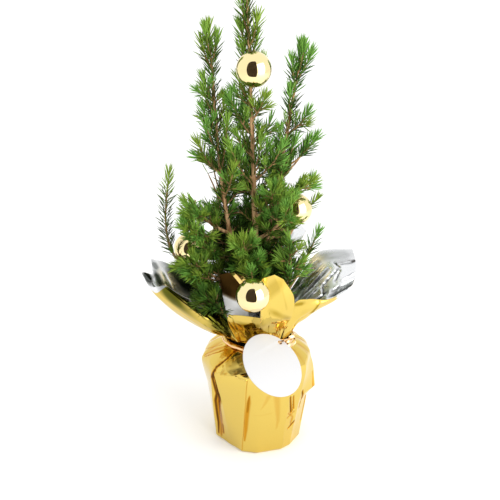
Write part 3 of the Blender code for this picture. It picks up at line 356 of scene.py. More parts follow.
BOUGH_MASSES = {
    "needles_left_outer": ("bough_left_outer", (-82, 10, 270), 0),
    "needles_left_upper": ("bough_left_upper", (-67, -15, 246), 2),
    "needles_left_middle": ("bough_left_middle", (-68, -30, 234), 2),
    "needles_left_low": ("bough_left_low", (-69, -42, 200), 2),
    "needles_left_front": ("bough_left_front", (-49, -45, 168), 2),
    "needles_right_upper": ("bough_right_upper", (28, -14, 258), 2),
    "needles_right_middle": ("bough_right_middle", (30, -31, 252), 2),
    "needles_right_outer": ("bough_right_outer", (59, 20, 209), 0),
    "needles_right_inner": ("bough_right_inner", (27, -25, 221), 2),
    "needles_right_back": ("bough_right_back", (54, 25, 258), 1),
    "needles_right_rear": ("bough_right_rear", (58, 36, 236), 2),
    "needles_front": ("bough_front", (-14, -44, 225), 3),
    "needles_back_left": ("bough_back_left", (-50, 48, 262), 3),
    "needles_back_right": ("bough_back_right", (24, 50, 274), 3),
    "needles_back_low_left": ("bough_back_low_left", (-12, 62, 200), 3),
    "needles_back_low_right": ("bough_back_low_right", (22, 60, 214), 3),
}
LEADER_MASSES = {
    "needles_front_low": ("trunk", 152, (-7, -56, 199), 2),
    "needles_centre_back": ("trunk", 188, (-12, 22, 247), 2),
}
TOP_MASSES = {
    "needles_left_top": ("stem_left", (-43, 5, 398), 0),
    "needles_right_top": ("stem_right", (38, 10, 382), 0),
}
SLEEVES = {
    "needles_trunk_top": ("trunk", 352, 431, ()),
    "needles_trunk_upper": ("trunk", 290, 348, (
        (304, (-27, -5, 341)), (318, (7, -10, 342)), (292, (14, 12, 318)), (300, (-14, 24, 326)))),
    "needles_trunk_lower": ("trunk", 234, 286, (
        (262, (24, -12, 300)), (258, (-27, -20, 302)), (240, (-6, 30, 284)))),
    "needles_left_upper_stem": ("stem_left", 286, 346, (
        (300, (-51, 0, 332)), (332, (-50, 3, 356)))),
    "needles_left_lower_stem": ("stem_left", 222, 282, (
        (268, (-56, -5, 301)), (246, (-21, -22, 282)), (236, (-44, 28, 278)))),
    "needles_right_stem": ("stem_right", 232, 333, (
        (270, (54, 5, 302)), (303, (46, 0, 326)), (250, (33, 34, 280)))),
}
SHOOT_RADIUS = 1.3
TWIG_RADIUS = 0.9
TWIG_TIP_RADIUS = 0.55
TWIG_LENGTH = 17.0
TWIG_ANGLE = 46.0
NEEDLE_TURN = 137.5
NEEDLE_ANGLE = 50.0
NEEDLE_TIP_ANGLE = 24.0
BRUSH_REACH = 12.0
TIP_CROWDING = 1.3
# How far short of a mass's end its stem stops, so that the last needles end there
TIP_REACH = 6.0
TOP_REACH = 5.0
FINE_REACH = 6.0
BUD_NEEDLES = 8
BUD_ANGLES = (3.0, 36.0)
# Needle lengths, as a share of the longest: on the masses low in the crown, inside it, on its outer
# shoots, and on the leaders
LOW_SIZE = 0.90
INNER_SIZE = 0.86
OUTER_SIZE = 1.0
LEADER_SIZE = 1.0
OUTER_MASSES = ("needles_left_outer", "needles_right_outer", "needles_right_back", "needles_right_rear")
# Masses whose share of painted light differs: most stand in the shade of the others
SHADED_MASSES = {"needles_left_front": 0.10, "needles_left_low": 0.36, "needles_left_outer": 0.52}
# Lanes through the crown where the sky shows: both ends and the radius
LANES = [
    ((-52.6, -40, 281.3), (-61.6, 80, 249.0), 8.5), ((-52.2, -40, 266.3), (-60.9, 80, 231.2), 8.5),
    ((-43.6, 14, 263.4), (-47.0, 80, 245.0), 8.5), ((-43.6, 14, 248.9), (-46.9, 80, 229.3), 7.0),
    ((34.9, -40, 289.4), (42.6, 80, 258.4), 7.5), ((28.3, -40, 277.1), (34.8, 80, 243.9), 5.0),
    ((34.3, -30, 222.0), (41.1, 80, 183.0), 5.5), ((35.2, -20, 203.0), (40.2, 60, 172.8), 4.5),
    ((17.0, -20, 328.9), (19.0, 40, 317.3), 4.0), ((-0.4, 8, 275.6), (0.4, 80, 256.7), 4.0),
    ((-44.1, -40, 232.1), (-50.8, 80, 190.6), 4.0), ((40.9, 24, 230.0), (34.6, -70, 259.9), 7.0),
    ((-73.4, 6, 196.2), (-66.3, -70, 224.6), 6.5), ((-27.4, -40, 162.3), (-25.7, -95, 187.1), 8.0),
    ((-29.0, -42, 174.0), (-27.3, -95, 197.1), 7.0), ((40, -50, 181), (49, 70, 130), 8.0),
    ((36, -50, 169), (44, 70, 115), 4.5), ((-2, 8, 287), (-2, 80, 270), 3.5),
    ((3, 8, 270), (5, 80, 251), 3.5), ((-14, 8, 272), (-14, 80, 253), 3.0),
    ((9, 10, 256), (11, 80, 236), 3.5), ((-1, 10, 255), (0, 80, 234), 3.0),
]
# Needles left on each leader's own wood, as a share
LEADER_CROWDS = {
    "needles_trunk_top": 0.85, "needles_trunk_upper": 0.45, "needles_trunk_lower": 0.25,
    "needles_left_upper_stem": 0.85, "needles_left_lower_stem": 0.4, "needles_right_stem": 0.85,
}
SHEET_CLEAR = 2.0
# Finer shoots at the sides of the leaders: what each grows from, the height there and its tip
FINE_SHOOTS = (
    ("needles_left_top", 362, (-51, 6, 388)), ("needles_left_top", 366, (-35, 3, 392)),
    ("needles_left_top", 374, (-46, -2, 398)), ("stem_left", 322, (-50, -1, 347)),
    ("stem_left", 312, (-28, 0, 337)), ("stem_left", 288, (-48, -6, 318)), ("trunk", 284, (-23, -4, 309)),
    ("stem_left", 256, (-24, -4, 292)), ("stem_left", 274, (-28, 4, 306)),
    ("trunk", 330, (-19, -3, 358)), ("trunk", 344, (4, -1, 372)), ("trunk", 272, (4, -9, 304)),
    ("trunk", 262, (-19, -7, 293)), ("trunk", 284, (-17, 2, 316)), ("trunk", 372, (-17, 2, 402)),
    ("trunk", 380, (0, -3, 408)), ("trunk", 392, (-16, -1, 424)), ("trunk", 352, (-16, -2, 384)),
    ("trunk", 362, (-1, 3, 392)),
    ("needles_right_top", 346, (28, 6, 372)), ("needles_right_top", 352, (47, 6, 377)),
    ("needles_right_top", 356, (40, 3, 382)), ("stem_right", 318, (27, 2, 347)),
    ("stem_right", 286, (18, 2, 312)), ("stem_right", 262, (11, 0, 292)), ("stem_right", 268, (35, 4, 302)),
    ("trunk", 270, (11, -6, 299)), ("stem_left", 268, (-27, -6, 322)), ("stem_right", 262, (48, 6, 300)),
    ("trunk", 330, (-24, -2, 346)), ("trunk", 312, (-28, -3, 338)),
)
# Shoots in front of the low crown, each from its bough
LOW_SHOOTS = (
    ("bough_left_middle", 206, (-66, -29, 221)), ("bough_left_middle", 200, (-53, -34, 213)),
    ("bough_left_low", 178, (-62, -33, 203)), ("bough_left_low", 181, (-68, -36, 191)),
    ("bough_left_low", 172, (-56, -40, 186)), ("bough_left_front", 146, (-52, -42, 176)),
    ("bough_left_front", 142, (-41, -43, 170)), ("bough_left_front", 146, (-60, -36, 182)),
    ("bough_left_upper", 224, (-60, -13, 243)), ("bough_right_upper", 240, (27, -20, 254)),
    ("bough_right_middle", 228, (34, -26, 243)), ("bough_right_inner", 164, (29, -24, 214)),
    ("bough_front", 186, (2, -46, 208)), ("bough_front", 184, (-20, -44, 206)),
)
# Shoots all round the leaders inside the crown, with painted shade in their needles' colours
INNER_HEIGHTS = (*range(98, 205, 3), *range(205, 272, 8))
INNER_LENGTHS = (20.0, 32.0)
# Above this height they leave the leaders' front bare
BARE_ABOVE = 190.0
INNER_ANGLE = 50.0
# Painted shade and light in the needles' colours: darker within INNER_RADIUS of the crown's axis below
# SHADED_BELOW, fading over SHADE_FADE, and lighter by up to LIT_MORE above LIT_ABOVE, over LIT_FADE
INNER_RADIUS = 45.0
SHADED_BELOW = 240.0
SHADE_FADE = 55.0
LIT_ABOVE = 200.0
LIT_FADE = 60.0
LIT_MORE = 0.13

# Hung balls: centre, and the direction its cap points in
BALL_RADIUS = 15.0
BALLS = {
    "ball_top": ((-4.3, -22, 365), (0.0, 0.92, 0.38)),
    "ball_front": ((-5, -64, 177.6), (-0.45, 0.72, 0.53)),
    "ball_right": ((37, 30, 226), (-0.30, 0.10, 1.0)),
    "ball_left": ((-65.5, 18, 190.5), (0.25, 0.10, 1.0)),
    "ball_back": ((-33, 36, 193), (0.10, 0.30, 1.0)),
}
THREAD_LENGTH = 6.0

# Needle colours, from painted shade inside the crown to a fresh tip in painted light
NEEDLE_COLOURS = {
    "deep": (0.010, 0.017, 0.002),
    "shade": (0.022, 0.038, 0.004),
    "old": (0.044, 0.078, 0.008),
    "mid": (0.080, 0.140, 0.015),
    "fresh": (0.140, 0.240, 0.026),
    "tip": (0.235, 0.370, 0.048),
}
# Each spray's own tint of these
NEEDLE_TINTS = {
    "cool": (0.72, 0.98, 1.25),
    "plain": (0.90, 1.0, 1.1),
    "warm": (1.05, 1.0, 0.95),
}


# Settings

class SPRUCE_PG_foil(bpy.types.PropertyGroup):
    """The gift wrap's film."""

    thickness: FloatProperty(name="Film Thickness", description="Thickness of the film as modelled",
                             default=0.3 * MM, min=0.05 * MM, subtype="DISTANCE", unit="LENGTH")
    gold: FloatVectorProperty(name="Outside", description="Colour of the metallised outside",
                              default=(0.71, 0.52, 0.118), subtype="COLOR", min=0.0, max=1.0)
    silver: FloatVectorProperty(name="Inside", description="Colour of the bare metal inside",
                                default=(0.82, 0.83, 0.84), subtype="COLOR", min=0.0, max=1.0)
    roughness: FloatProperty(name="Roughness", description="Gloss of the film",
                             default=0.10, min=0.0, max=1.0, subtype="FACTOR")
    soft: FloatProperty(name="Inside Roughness", description="Gloss of the bare metal inside",
                        default=0.24, min=0.0, max=1.0, subtype="FACTOR")
    crumple: FloatProperty(name="Crumple", description="Depth of the small creases, as a share",
                           default=1.0, min=0.0, max=2.0, subtype="FACTOR")


class SPRUCE_PG_needles(bpy.types.PropertyGroup):
    """The needles and the shoots that they stand on."""

    length: FloatProperty(name="Needle Length", description="Length of a grown needle",
                          default=13.5 * MM, min=4 * MM, subtype="DISTANCE", unit="LENGTH")
    slenderness: FloatProperty(name="Slenderness", description="Needle width as a share of its length",
                               default=0.085, min=0.02, max=0.3, subtype="FACTOR")
    pitch: FloatProperty(name="Pitch", description="Distance along a shoot from needle to needle",
                         default=0.58 * MM, min=0.2 * MM, subtype="DISTANCE", unit="LENGTH")
    seed: IntProperty(name="Seed", description="Start of the growing rule's random numbers", default=24)


class SPRUCE_PG_bark(bpy.types.PropertyGroup):
    """The trunk, stems and boughs."""

    relief: FloatProperty(name="Relief", description="Depth of the bark's ridges on the trunk",
                          default=0.45 * MM, min=0.0, subtype="DISTANCE", unit="LENGTH")
    light: FloatVectorProperty(name="Ridges", description="Colour of the bark's ridges",
                               default=(0.62, 0.39, 0.19), subtype="COLOR", min=0.0, max=1.0)
    dark: FloatVectorProperty(name="Furrows", description="Colour between the ridges",
                              default=(0.20, 0.095, 0.035), subtype="COLOR", min=0.0, max=1.0)


class SPRUCE_PG_balls(bpy.types.PropertyGroup):
    """The hung balls."""

    radius: FloatProperty(name="Radius", description="Radius of a ball",
                          default=BALL_RADIUS * MM, min=5 * MM, subtype="DISTANCE", unit="LENGTH")
    colour: FloatVectorProperty(name="Colour", description="Colour of the mirror finish",
                                default=(0.93, 0.775, 0.41), subtype="COLOR", min=0.0, max=1.0)


class SPRUCE_PG_stage(bpy.types.PropertyGroup):
    """The floor and the light."""

    floor: FloatVectorProperty(name="Floor", description="Colour of the floor",
                               default=(0.975, 0.975, 0.975), subtype="COLOR", min=0.0, max=1.0)
    sky: FloatProperty(name="Surrounding Light", description="Strength of the white surroundings",
                       default=1.14, min=0.0)
    key: FloatProperty(name="Soft Box", description="Power of the large soft box on the right",
                       default=9.0, min=0.0, subtype="POWER", unit="POWER")


# Node materials

class Finish:
    """A node material in the making, on Object coordinates."""

    def __init__(self, name, colour, roughness, metallic=0.0):
        self.material = bpy.data.materials.new(name)
        self.material.use_nodes = True
        self.nodes = self.material.node_tree.nodes
        self.links = self.material.node_tree.links
        self.shader = self.nodes["Principled BSDF"]
        self.set("Base Color", (*colour, 1.0))
        self.set("Roughness", roughness)
        self.set("Metallic", metallic)
        self.material.diffuse_color = (*colour, 1.0)
        self.coordinates = self.nodes.new("ShaderNodeTexCoord").outputs["Object"]

    def set(self, socket, value):
        self.shader.inputs[socket].default_value = value

    def noise(self, scale, detail=3.0, stretch=(1.0, 1.0, 1.0)):
        mapping = self.nodes.new("ShaderNodeMapping")
        mapping.inputs["Scale"].default_value = stretch
        self.links.new(self.coordinates, mapping.inputs["Vector"])
        texture = self.nodes.new("ShaderNodeTexNoise")
        texture.inputs["Scale"].default_value = scale
        texture.inputs["Detail"].default_value = detail
        self.links.new(mapping.outputs["Vector"], texture.inputs["Vector"])
        return texture.outputs["Fac"]

    def ramp(self, source, stops):
        """Colours, each at its place between 0 and 1, read by a texture's value."""
        ramp = self.nodes.new("ShaderNodeValToRGB")
        elements = ramp.color_ramp.elements
        while len(elements) < len(stops):
            elements.new(0.5)
        for element, (place, colour) in zip(elements, stops):
            element.position = place
            element.color = (*colour, 1.0)
        self.links.new(source, ramp.inputs["Fac"])
        self.links.new(ramp.outputs["Color"], self.shader.inputs["Base Color"])

    def vary(self, source, socket, low, high):
        """A value that moves between two limits with a texture."""
        spread = self.nodes.new("ShaderNodeMapRange")
        spread.inputs["From Min"].default_value = 0.3
        spread.inputs["From Max"].default_value = 0.7
        spread.inputs["To Min"].default_value = low
        spread.inputs["To Max"].default_value = high
        self.links.new(source, spread.inputs["Value"])
        self.links.new(spread.outputs["Result"], self.shader.inputs[socket])

    def bump(self, source, distance, strength=1.0):
        bump = self.nodes.new("ShaderNodeBump")
        bump.inputs["Distance"].default_value = distance
        bump.inputs["Strength"].default_value = strength
        self.links.new(source, bump.inputs["Height"])
        self.links.new(bump.outputs["Normal"], self.shader.inputs["Normal"])


def film(name, colour, roughness, folded=None, pale=False):
    """Metallised film: nearly a mirror, with faint changes of gloss and a fine ripple.

    Painted shade and reflection of its folds are read by the mesh's own "fold" values. Pale film is a
    mirror only there, and its white elsewhere is a painted reflection of the floor.
    """
    finish = Finish(name, colour, roughness, metallic=1.0)
    # folded holds the colours of painted shade and reflection half way into a fold and at its bottom
    if folded:
        fold = finish.nodes.new("ShaderNodeAttribute")
        fold.attribute_name = "fold"
        finish.ramp(fold.outputs["Fac"], [(0.0, colour), (0.45, folded[0]), (1.0, folded[1])])
        if pale:
            finish.links.new(fold.outputs["Fac"], finish.shader.inputs["Metallic"])
    finish.vary(finish.noise(60.0), "Roughness", roughness * 0.7, roughness * 1.5)
    finish.bump(finish.noise(900.0, detail=2.0), 0.02 * MM, 0.25)
    return finish.material


def bark_finish(name, light, dark, scale):
    finish = Finish(name, light, 0.8)
    grain = finish.noise(scale, detail=6.0, stretch=(1.0, 1.0, 0.28))
    middle = [0.5 * (a + b) for a, b in zip(light, dark)]
    finish.ramp(grain, [(0.34, dark), (0.5, middle), (0.66, light)])
    finish.bump(finish.noise(scale * 2.5, detail=4.0), 0.25 * MM, 0.6)
    finish.set("Specular IOR Level", 0.3)
    return finish.material


def needle_finish(name, colour):
    finish = Finish(name, colour, 0.5)
    finish.vary(finish.noise(700.0), "Roughness", 0.42, 0.6)
    finish.set("Specular IOR Level", 0.08)
    return finish.material


# Meshes

def around(azimuth, radius, height):
    """A point in millimetres at an azimuth from the front, a radius and a height."""
    angle = math.radians(azimuth)
    return Vector((radius * math.sin(angle), -radius * math.cos(angle), height))


def add_piece(name, points, faces, materials, smooth_angle=30.0, face_materials=None):
    """An object at the origin from points in millimetres."""
    mesh = bpy.data.meshes.new(name)
    mesh.from_pydata([tuple(p * MM) for p in points], [], faces)
    for material in materials:
        mesh.materials.append(material)
    if face_materials:
        mesh.polygons.foreach_set("material_index", face_materials)
    mesh.update()
    piece = bpy.data.objects.new(name, mesh)
    bpy.context.scene.collection.objects.link(piece)
    if smooth_angle:
        mesh.shade_smooth()
        mesh.set_sharp_from_angle(angle=math.radians(smooth_angle))
    return piece


def finished(piece, slot, *nodes):
    """Tell the frame what a finished piece rides on and stands for. The slot, what it is made of, is not used."""
    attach(piece, "root")
    if nodes:
        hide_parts(*nodes)


def on_curve(a, b, c, d, t):
    """A point between b and c on the smooth curve through four points."""
    return 0.5 * (2 * b + (c - a) * t + (2 * a - 5 * b + 4 * c - d) * t * t + (3 * b - a - 3 * c + d) * t ** 3)


def through(points, steps):
    """A smooth curve through points, with a number of steps between each two."""
    ends = [2 * points[0] - points[1]] + list(points) + [2 * points[-1] - points[-2]]
    curve = []
    for four in zip(ends, ends[1:], ends[2:], ends[3:]):
        curve += [on_curve(*four, k / steps) for k in range(steps)]
    return curve + [points[-1].copy()]


def between(first, last, share):
    return first + (last - first) * share


def near_line(point, start, end):
    """How far a point lies from a straight stretch, and how far along it the nearest place is."""
    span = end - start
    share = max(0.0, min(1.0, (point - start).dot(span) / max(span.length_squared, 1e-9)))
    return (point - start - span * share).length, share


def set_painted_fold_shade(piece, values):
    """Write each point's painted shade and reflection of the folds, as its "fold" value."""
    attribute = piece.data.attributes.new("fold", "FLOAT", "POINT")
    attribute.data.foreach_set("value", values)


def refine(columns, across, up, flat=False):
    """A finer grid through columns of points in millimetres, smooth or flat between the columns."""
    tall = [through([Vector(p) for p in column], up) for column in columns]
    if flat:
        return [[a.lerp(b, k / across) for a, b in zip(row, row[1:]) for k in range(across)] + [row[-1].copy()]
                for row in zip(*tall)]
    return [through(list(row), across) for row in zip(*tall)]


def grid_normals(rows):
    """The normal at each point of a grid, by its neighbours."""
    height, width = len(rows), len(rows[0])
    normals = []
    for i in range(height):
        line = []
        for j in range(width):
            up = rows[min(i + 1, height - 1)][j] - rows[max(i - 1, 0)][j]
            side = rows[i][min(j + 1, width - 1)] - rows[i][max(j - 1, 0)]
            line.append(side.cross(up).normalized())
        normals.append(line)
    return normals


def thicken(rows, thickness):
    """The two faces of a sheet as one closed mesh: points, faces, and each face's side (0, 1)."""
    height, width = len(rows), len(rows[0])
    normals = [n for line in grid_normals(rows) for n in line]
    flat = [p for row in rows for p in row]
    points = [p + n * thickness / 2 for p, n in zip(flat, normals)]
    points += [p - n * thickness / 2 for p, n in zip(flat, normals)]
    back = height * width
    faces = []
    sides = []
    for i in range(height - 1):
        for j in range(width - 1):
            a = i * width + j
            quad = (a, a + 1, a + width + 1, a + width)
            faces += [quad, tuple(back + v for v in quad[::-1])]
            sides += [0, 1]
    border = list(range(width))
    border += [i * width + width - 1 for i in range(1, height)]
    border += [(height - 1) * width + j for j in range(width - 2, -1, -1)]
    border += [i * width for i in range(height - 2, 0, -1)]
    for a, b in zip(border, border[1:] + border[:1]):
        faces.append((b, a, back + a, back + b))
        sides.append(0)
    return points, faces, sides


def drift(place):
    """A smooth random vector of up to about 1, the same in every run."""
    return Vector([noise.noise(place + Vector(start)) for start in DRIFT_STARTS])


def crease_height(u, v, seed):
    """Heights of -1 to 1 at the corners of a warped grid, joined by flat triangles, as film creases."""
    shift = drift(Vector((u * 0.8, v * 0.8, seed * 7.3)))
    u += 0.45 * shift.x
    v += 0.45 * shift.y
    i, j = math.floor(u), math.floor(v)
    s, t = u - i, v - j

    def corner(a, b):
        return 2.0 * noise.cell(Vector((i + a + 0.5, j + b + 0.5, seed + 0.5))) - 1.0

    if (i + j) % 2:
        if s + t < 1.0:
            return corner(0, 0) * (1 - s - t) + corner(1, 0) * s + corner(0, 1) * t
        return corner(1, 1) * (s + t - 1) + corner(1, 0) * (1 - t) + corner(0, 1) * (1 - s)
    if s > t:
        return corner(0, 0) * (1 - s) + corner(1, 0) * (s - t) + corner(1, 1) * t
    return corner(0, 0) * (1 - t) + corner(0, 1) * (t - s) + corner(1, 1) * s


def crumple(u, v, seed):
    """Large flat facets with smaller ones on them."""
    return crease_height(u, v, seed) + 0.4 * crease_height(u * 2.3 + 5.1, v * 2.3 + 9.4, seed + 3)


def ring_tube(centres, radii, sides, closed_ends=True):
    """Points and faces of a tube along a line of points, each ring's radii given as a function."""
    ahead = (centres[1] - centres[0]).normalized()
    side = ahead.cross(Vector((0, 1, 0.01))).normalized()
    points = []
    last = len(centres) - 1
    for k, centre in enumerate(centres):
        ahead = (centres[min(k + 1, last)] - centres[max(k - 1, 0)]).normalized()
        side = (side - ahead * side.dot(ahead)).normalized()
        over = ahead.cross(side)
        for j in range(sides):
            angle = math.tau * j / sides
            points.append(centre + (side * math.cos(angle) + over * math.sin(angle)) * radii(k, angle))
    faces = []
    for k in range(last):
        for j in range(sides):
            beside = (j + 1) % sides
            faces.append((k * sides + j, k * sides + beside, (k + 1) * sides + beside, (k + 1) * sides + j))
    if closed_ends:
        faces.append(tuple(range(sides))[::-1])
        faces.append(tuple(range(last * sides, (last + 1) * sides)))
    return points, faces


class Heap:
    """Several bodies gathered into one mesh."""

    def __init__(self):
        self.points = []
        self.faces = []

    def add(self, points, faces):
        base = len(self.points)
        self.points += points
        self.faces += [tuple(base + v for v in face) for face in faces]


def turned_shape(profile, sides, frame_matrix=Matrix()):
    """Points and faces of a closed shape turned round Z from (radius, height) in millimetres."""
    points = []
    rings = []
    for radius, height in profile:
        if radius == 0.0:
            rings.append([len(points)] * sides)
            points.append(frame_matrix @ Vector((0, 0, height)))
            continue
        rings.append(list(range(len(points), len(points) + sides)))
        points += [frame_matrix @ around(360.0 * k / sides, radius, height) for k in range(sides)]
    faces = []
    for lower, upper in zip(rings, rings[1:]):
        for k in range(sides):
            after = (k + 1) % sides
            face = list(dict.fromkeys((lower[k], lower[after], upper[after], upper[k])))
            if len(face) > 2:
                faces.append(tuple(face))
    return points, faces


def frame_along(direction, place):
    """A frame in millimetres whose Z axis runs along a direction."""
    matrix = Vector(direction).to_track_quat("Z", "Y").to_matrix().to_4x4()
    matrix.translation = Vector(place)
    return matrix


# Geometry Nodes

def new_tree(name, sockets):
    """A geometry tree with its inputs: (name, socket type, default)."""
    tree = bpy.data.node_groups.new(name, "GeometryNodeTree")
    tree.interface.new_socket(name="Geometry", in_out="INPUT", socket_type="NodeSocketGeometry")
    for label, kind, default in sockets:
        item = tree.interface.new_socket(name=label, in_out="INPUT", socket_type=kind)
        if default is not None:
            item.default_value = default
    tree.interface.new_socket(name="Geometry", in_out="OUTPUT", socket_type="NodeSocketGeometry")
    return tree


def node(tree, kind, inputs=None, **settings):
    """A node with its settings, and its inputs set to values or linked from sockets."""
    item = tree.nodes.new(kind)
    for key, value in settings.items():
        setattr(item, key, value)
    for key, value in (inputs or {}).items():
        if isinstance(value, bpy.types.NodeSocket):
            tree.links.new(value, item.inputs[key])
        else:
            item.inputs[key].default_value = value
    return item


def named_attribute(tree, name, kind):
    return node(tree, "GeometryNodeInputNamedAttribute", {"Name": name}, data_type=kind).outputs["Attribute"]


def grow_with(piece, tree, values):
    """Run a tree on an object, keep the result as its plain mesh and take the modifier off again."""
    modifier = piece.modifiers.new(tree.name, "NODES")
    modifier.node_group = tree
    for item in tree.interface.items_tree:
        if item.item_type == "SOCKET" and item.in_out == "INPUT" and item.name in values:
            modifier[item.identifier] = values[item.name]
    depsgraph = bpy.context.evaluated_depsgraph_get()
    mesh = bpy.data.meshes.new_from_object(piece.evaluated_get(depsgraph))
    piece.modifiers.clear()
    piece.data = mesh
    mesh.name = piece.name
    return piece


def points_object(name, places, attributes):
    """Loose points in metres with float or vector attributes."""
    mesh = bpy.data.meshes.new(name)
    mesh.from_pydata(places, [], [])
    for key, values in attributes.items():
        is_vector = isinstance(values[0], (Vector, tuple))
        attribute = mesh.attributes.new(key, "FLOAT_VECTOR" if is_vector else "FLOAT", "POINT")
        if is_vector:
            attribute.data.foreach_set("vector", [c for value in values for c in value])
        else:
            attribute.data.foreach_set("value", values)
    piece = bpy.data.objects.new(name, mesh)
    bpy.context.scene.collection.objects.link(piece)
    return piece


def needle_tree():
    """One three-sided needle, bent a little, set on every point along its own direction."""
    tree = new_tree("Needles On Points", [
        ("Slenderness", "NodeSocketFloat", 0.075), ("Bend", "NodeSocketFloat", 0.06),
        ("Material", "NodeSocketMaterial", None)])
    given = tree.nodes.new("NodeGroupInput").outputs
    line = node(tree, "GeometryNodeCurvePrimitiveLine", {"End": (0.0, 0.0, 1.0)})
    parts = node(tree, "GeometryNodeResampleCurve", {"Curve": line.outputs[0], "Count": 4})
    factor = tree.nodes.new("GeometryNodeSplineParameter").outputs["Factor"]
    square = node(tree, "ShaderNodeMath", {0: factor, 1: 2.0}, operation="POWER")
    shift = node(tree, "ShaderNodeMath", {0: square.outputs[0], 1: given["Bend"]}, operation="MULTIPLY")
    offset = node(tree, "ShaderNodeCombineXYZ", {"X": shift.outputs[0]})
    bent = node(tree, "GeometryNodeSetPosition",
                {"Geometry": parts.outputs[0], "Offset": offset.outputs[0]})
    taper = tree.nodes.new("ShaderNodeFloatCurve")
    curve = taper.mapping.curves[0]
    curve.points[0].location = (0.0, 0.45)
    curve.points[1].location = (1.0, 0.06)
    curve.points.new(0.22, 0.92)
    curve.points.new(0.72, 0.88)
    taper.mapping.update()
    tree.links.new(factor, taper.inputs["Value"])
    half = node(tree, "ShaderNodeMath", {0: given["Slenderness"], 1: 0.5}, operation="MULTIPLY")
    radius = node(tree, "ShaderNodeMath", {0: taper.outputs[0], 1: half.outputs[0]}, operation="MULTIPLY")
    sized = node(tree, "GeometryNodeSetCurveRadius",
                 {"Curve": bent.outputs[0], "Radius": radius.outputs[0]})
    outline = node(tree, "GeometryNodeCurvePrimitiveCircle", {"Resolution": 3, "Radius": 1.0})
    body = node(tree, "GeometryNodeCurveToMesh", {
        "Curve": sized.outputs[0], "Profile Curve": outline.outputs[0], "Fill Caps": True})
    if "Scale" in body.inputs:
        tree.links.new(radius.outputs[0], body.inputs["Scale"])
    turn = node(tree, "FunctionNodeAlignRotationToVector",
                {"Vector": named_attribute(tree, "direction", "FLOAT_VECTOR")}, axis="Z")
    spin = node(tree, "FunctionNodeAxisAngleToRotation",
                {"Axis": (0.0, 0.0, 1.0), "Angle": named_attribute(tree, "twist", "FLOAT")})
    placed = node(tree, "FunctionNodeRotateRotation", {
        "Rotation": turn.outputs[0], "Rotate By": spin.outputs[0]}, rotation_space="LOCAL")
    copies = node(tree, "GeometryNodeInstanceOnPoints", {
        "Points": given["Geometry"], "Instance": body.outputs[0], "Rotation": placed.outputs[0],
        "Scale": named_attribute(tree, "length", "FLOAT")})
    end_tree(tree, copies.outputs[0], given["Material"])
    return tree


def end_tree(tree, geometry, material):
    """Realize Instances, Set Material and the output."""
    real = node(tree, "GeometryNodeRealizeInstances", {"Geometry": geometry})
    smooth = node(tree, "GeometryNodeSetShadeSmooth", {"Geometry": real.outputs[0]})
    painted = node(tree, "GeometryNodeSetMaterial", {"Geometry": smooth.outputs[0], "Material": material})
    node(tree, "NodeGroupOutput", {"Geometry": painted.outputs[0]})


def twig_tree():
    """A tapering round twig along every polyline."""
    tree = new_tree("Twigs On Paths", [
        ("Sides", "NodeSocketInt", 6), ("Material", "NodeSocketMaterial", None)])
    given = tree.nodes.new("NodeGroupInput").outputs
    path = node(tree, "GeometryNodeMeshToCurve", {"Mesh": given["Geometry"]})
    radius = named_attribute(tree, "thickness", "FLOAT")
    sized = node(tree, "GeometryNodeSetCurveRadius", {"Curve": path.outputs[0], "Radius": radius})
    outline = node(tree, "GeometryNodeCurvePrimitiveCircle", {"Resolution": given["Sides"], "Radius": 1.0})
    body = node(tree, "GeometryNodeCurveToMesh", {
        "Curve": sized.outputs[0], "Profile Curve": outline.outputs[0], "Fill Caps": True})
    if "Scale" in body.inputs:
        tree.links.new(radius, body.inputs["Scale"])
    end_tree(tree, body.outputs[0], given["Material"])
    return tree


def grain_tree():
    """Crumbs of compost strewn over a surface."""
    tree = new_tree("Crumbs On Surface", [
        ("Density", "NodeSocketFloat", 60000.0), ("Seed", "NodeSocketInt", 3),
        ("Crumb Radius", "NodeSocketFloat", 1.4 * MM), ("Material", "NodeSocketMaterial", None)])
    given = tree.nodes.new("NodeGroupInput").outputs
    spots = node(tree, "GeometryNodeDistributePointsOnFaces", {
        "Mesh": given["Geometry"], "Density": given["Density"], "Seed": given["Seed"]})
    crumb = node(tree, "GeometryNodeMeshIcoSphere", {"Radius": given["Crumb Radius"], "Subdivisions": 2})
    wobble = node(tree, "ShaderNodeTexNoise", {"Scale": 900.0})
    centred = node(tree, "ShaderNodeVectorMath", {0: wobble.outputs["Color"], 1: (0.5, 0.5, 0.5)},
                   operation="SUBTRACT")
    pushed = node(tree, "ShaderNodeVectorMath", {0: centred.outputs[0]}, operation="SCALE")
    pushed.inputs["Scale"].default_value = 2.2 * MM
    rough = node(tree, "GeometryNodeSetPosition", {
        "Geometry": crumb.outputs["Mesh"], "Offset": pushed.outputs[0]})
    size = node(tree, "FunctionNodeRandomValue", {}, data_type="FLOAT_VECTOR")
    size.inputs[0].default_value = (0.4, 0.4, 0.3)
    size.inputs[1].default_value = (1.2, 1.1, 0.8)
    copies = node(tree, "GeometryNodeInstanceOnPoints", {
        "Points": spots.outputs["Points"], "Instance": rough.outputs[0],
        "Rotation": spots.outputs["Rotation"], "Scale": size.outputs[0]})
    both = node(tree, "GeometryNodeJoinGeometry")
    tree.links.new(copies.outputs[0], both.inputs[0])
    tree.links.new(given["Geometry"], both.inputs[0])
    end_tree(tree, both.outputs[0], given["Material"])
    return tree


# Pot, compost and bag

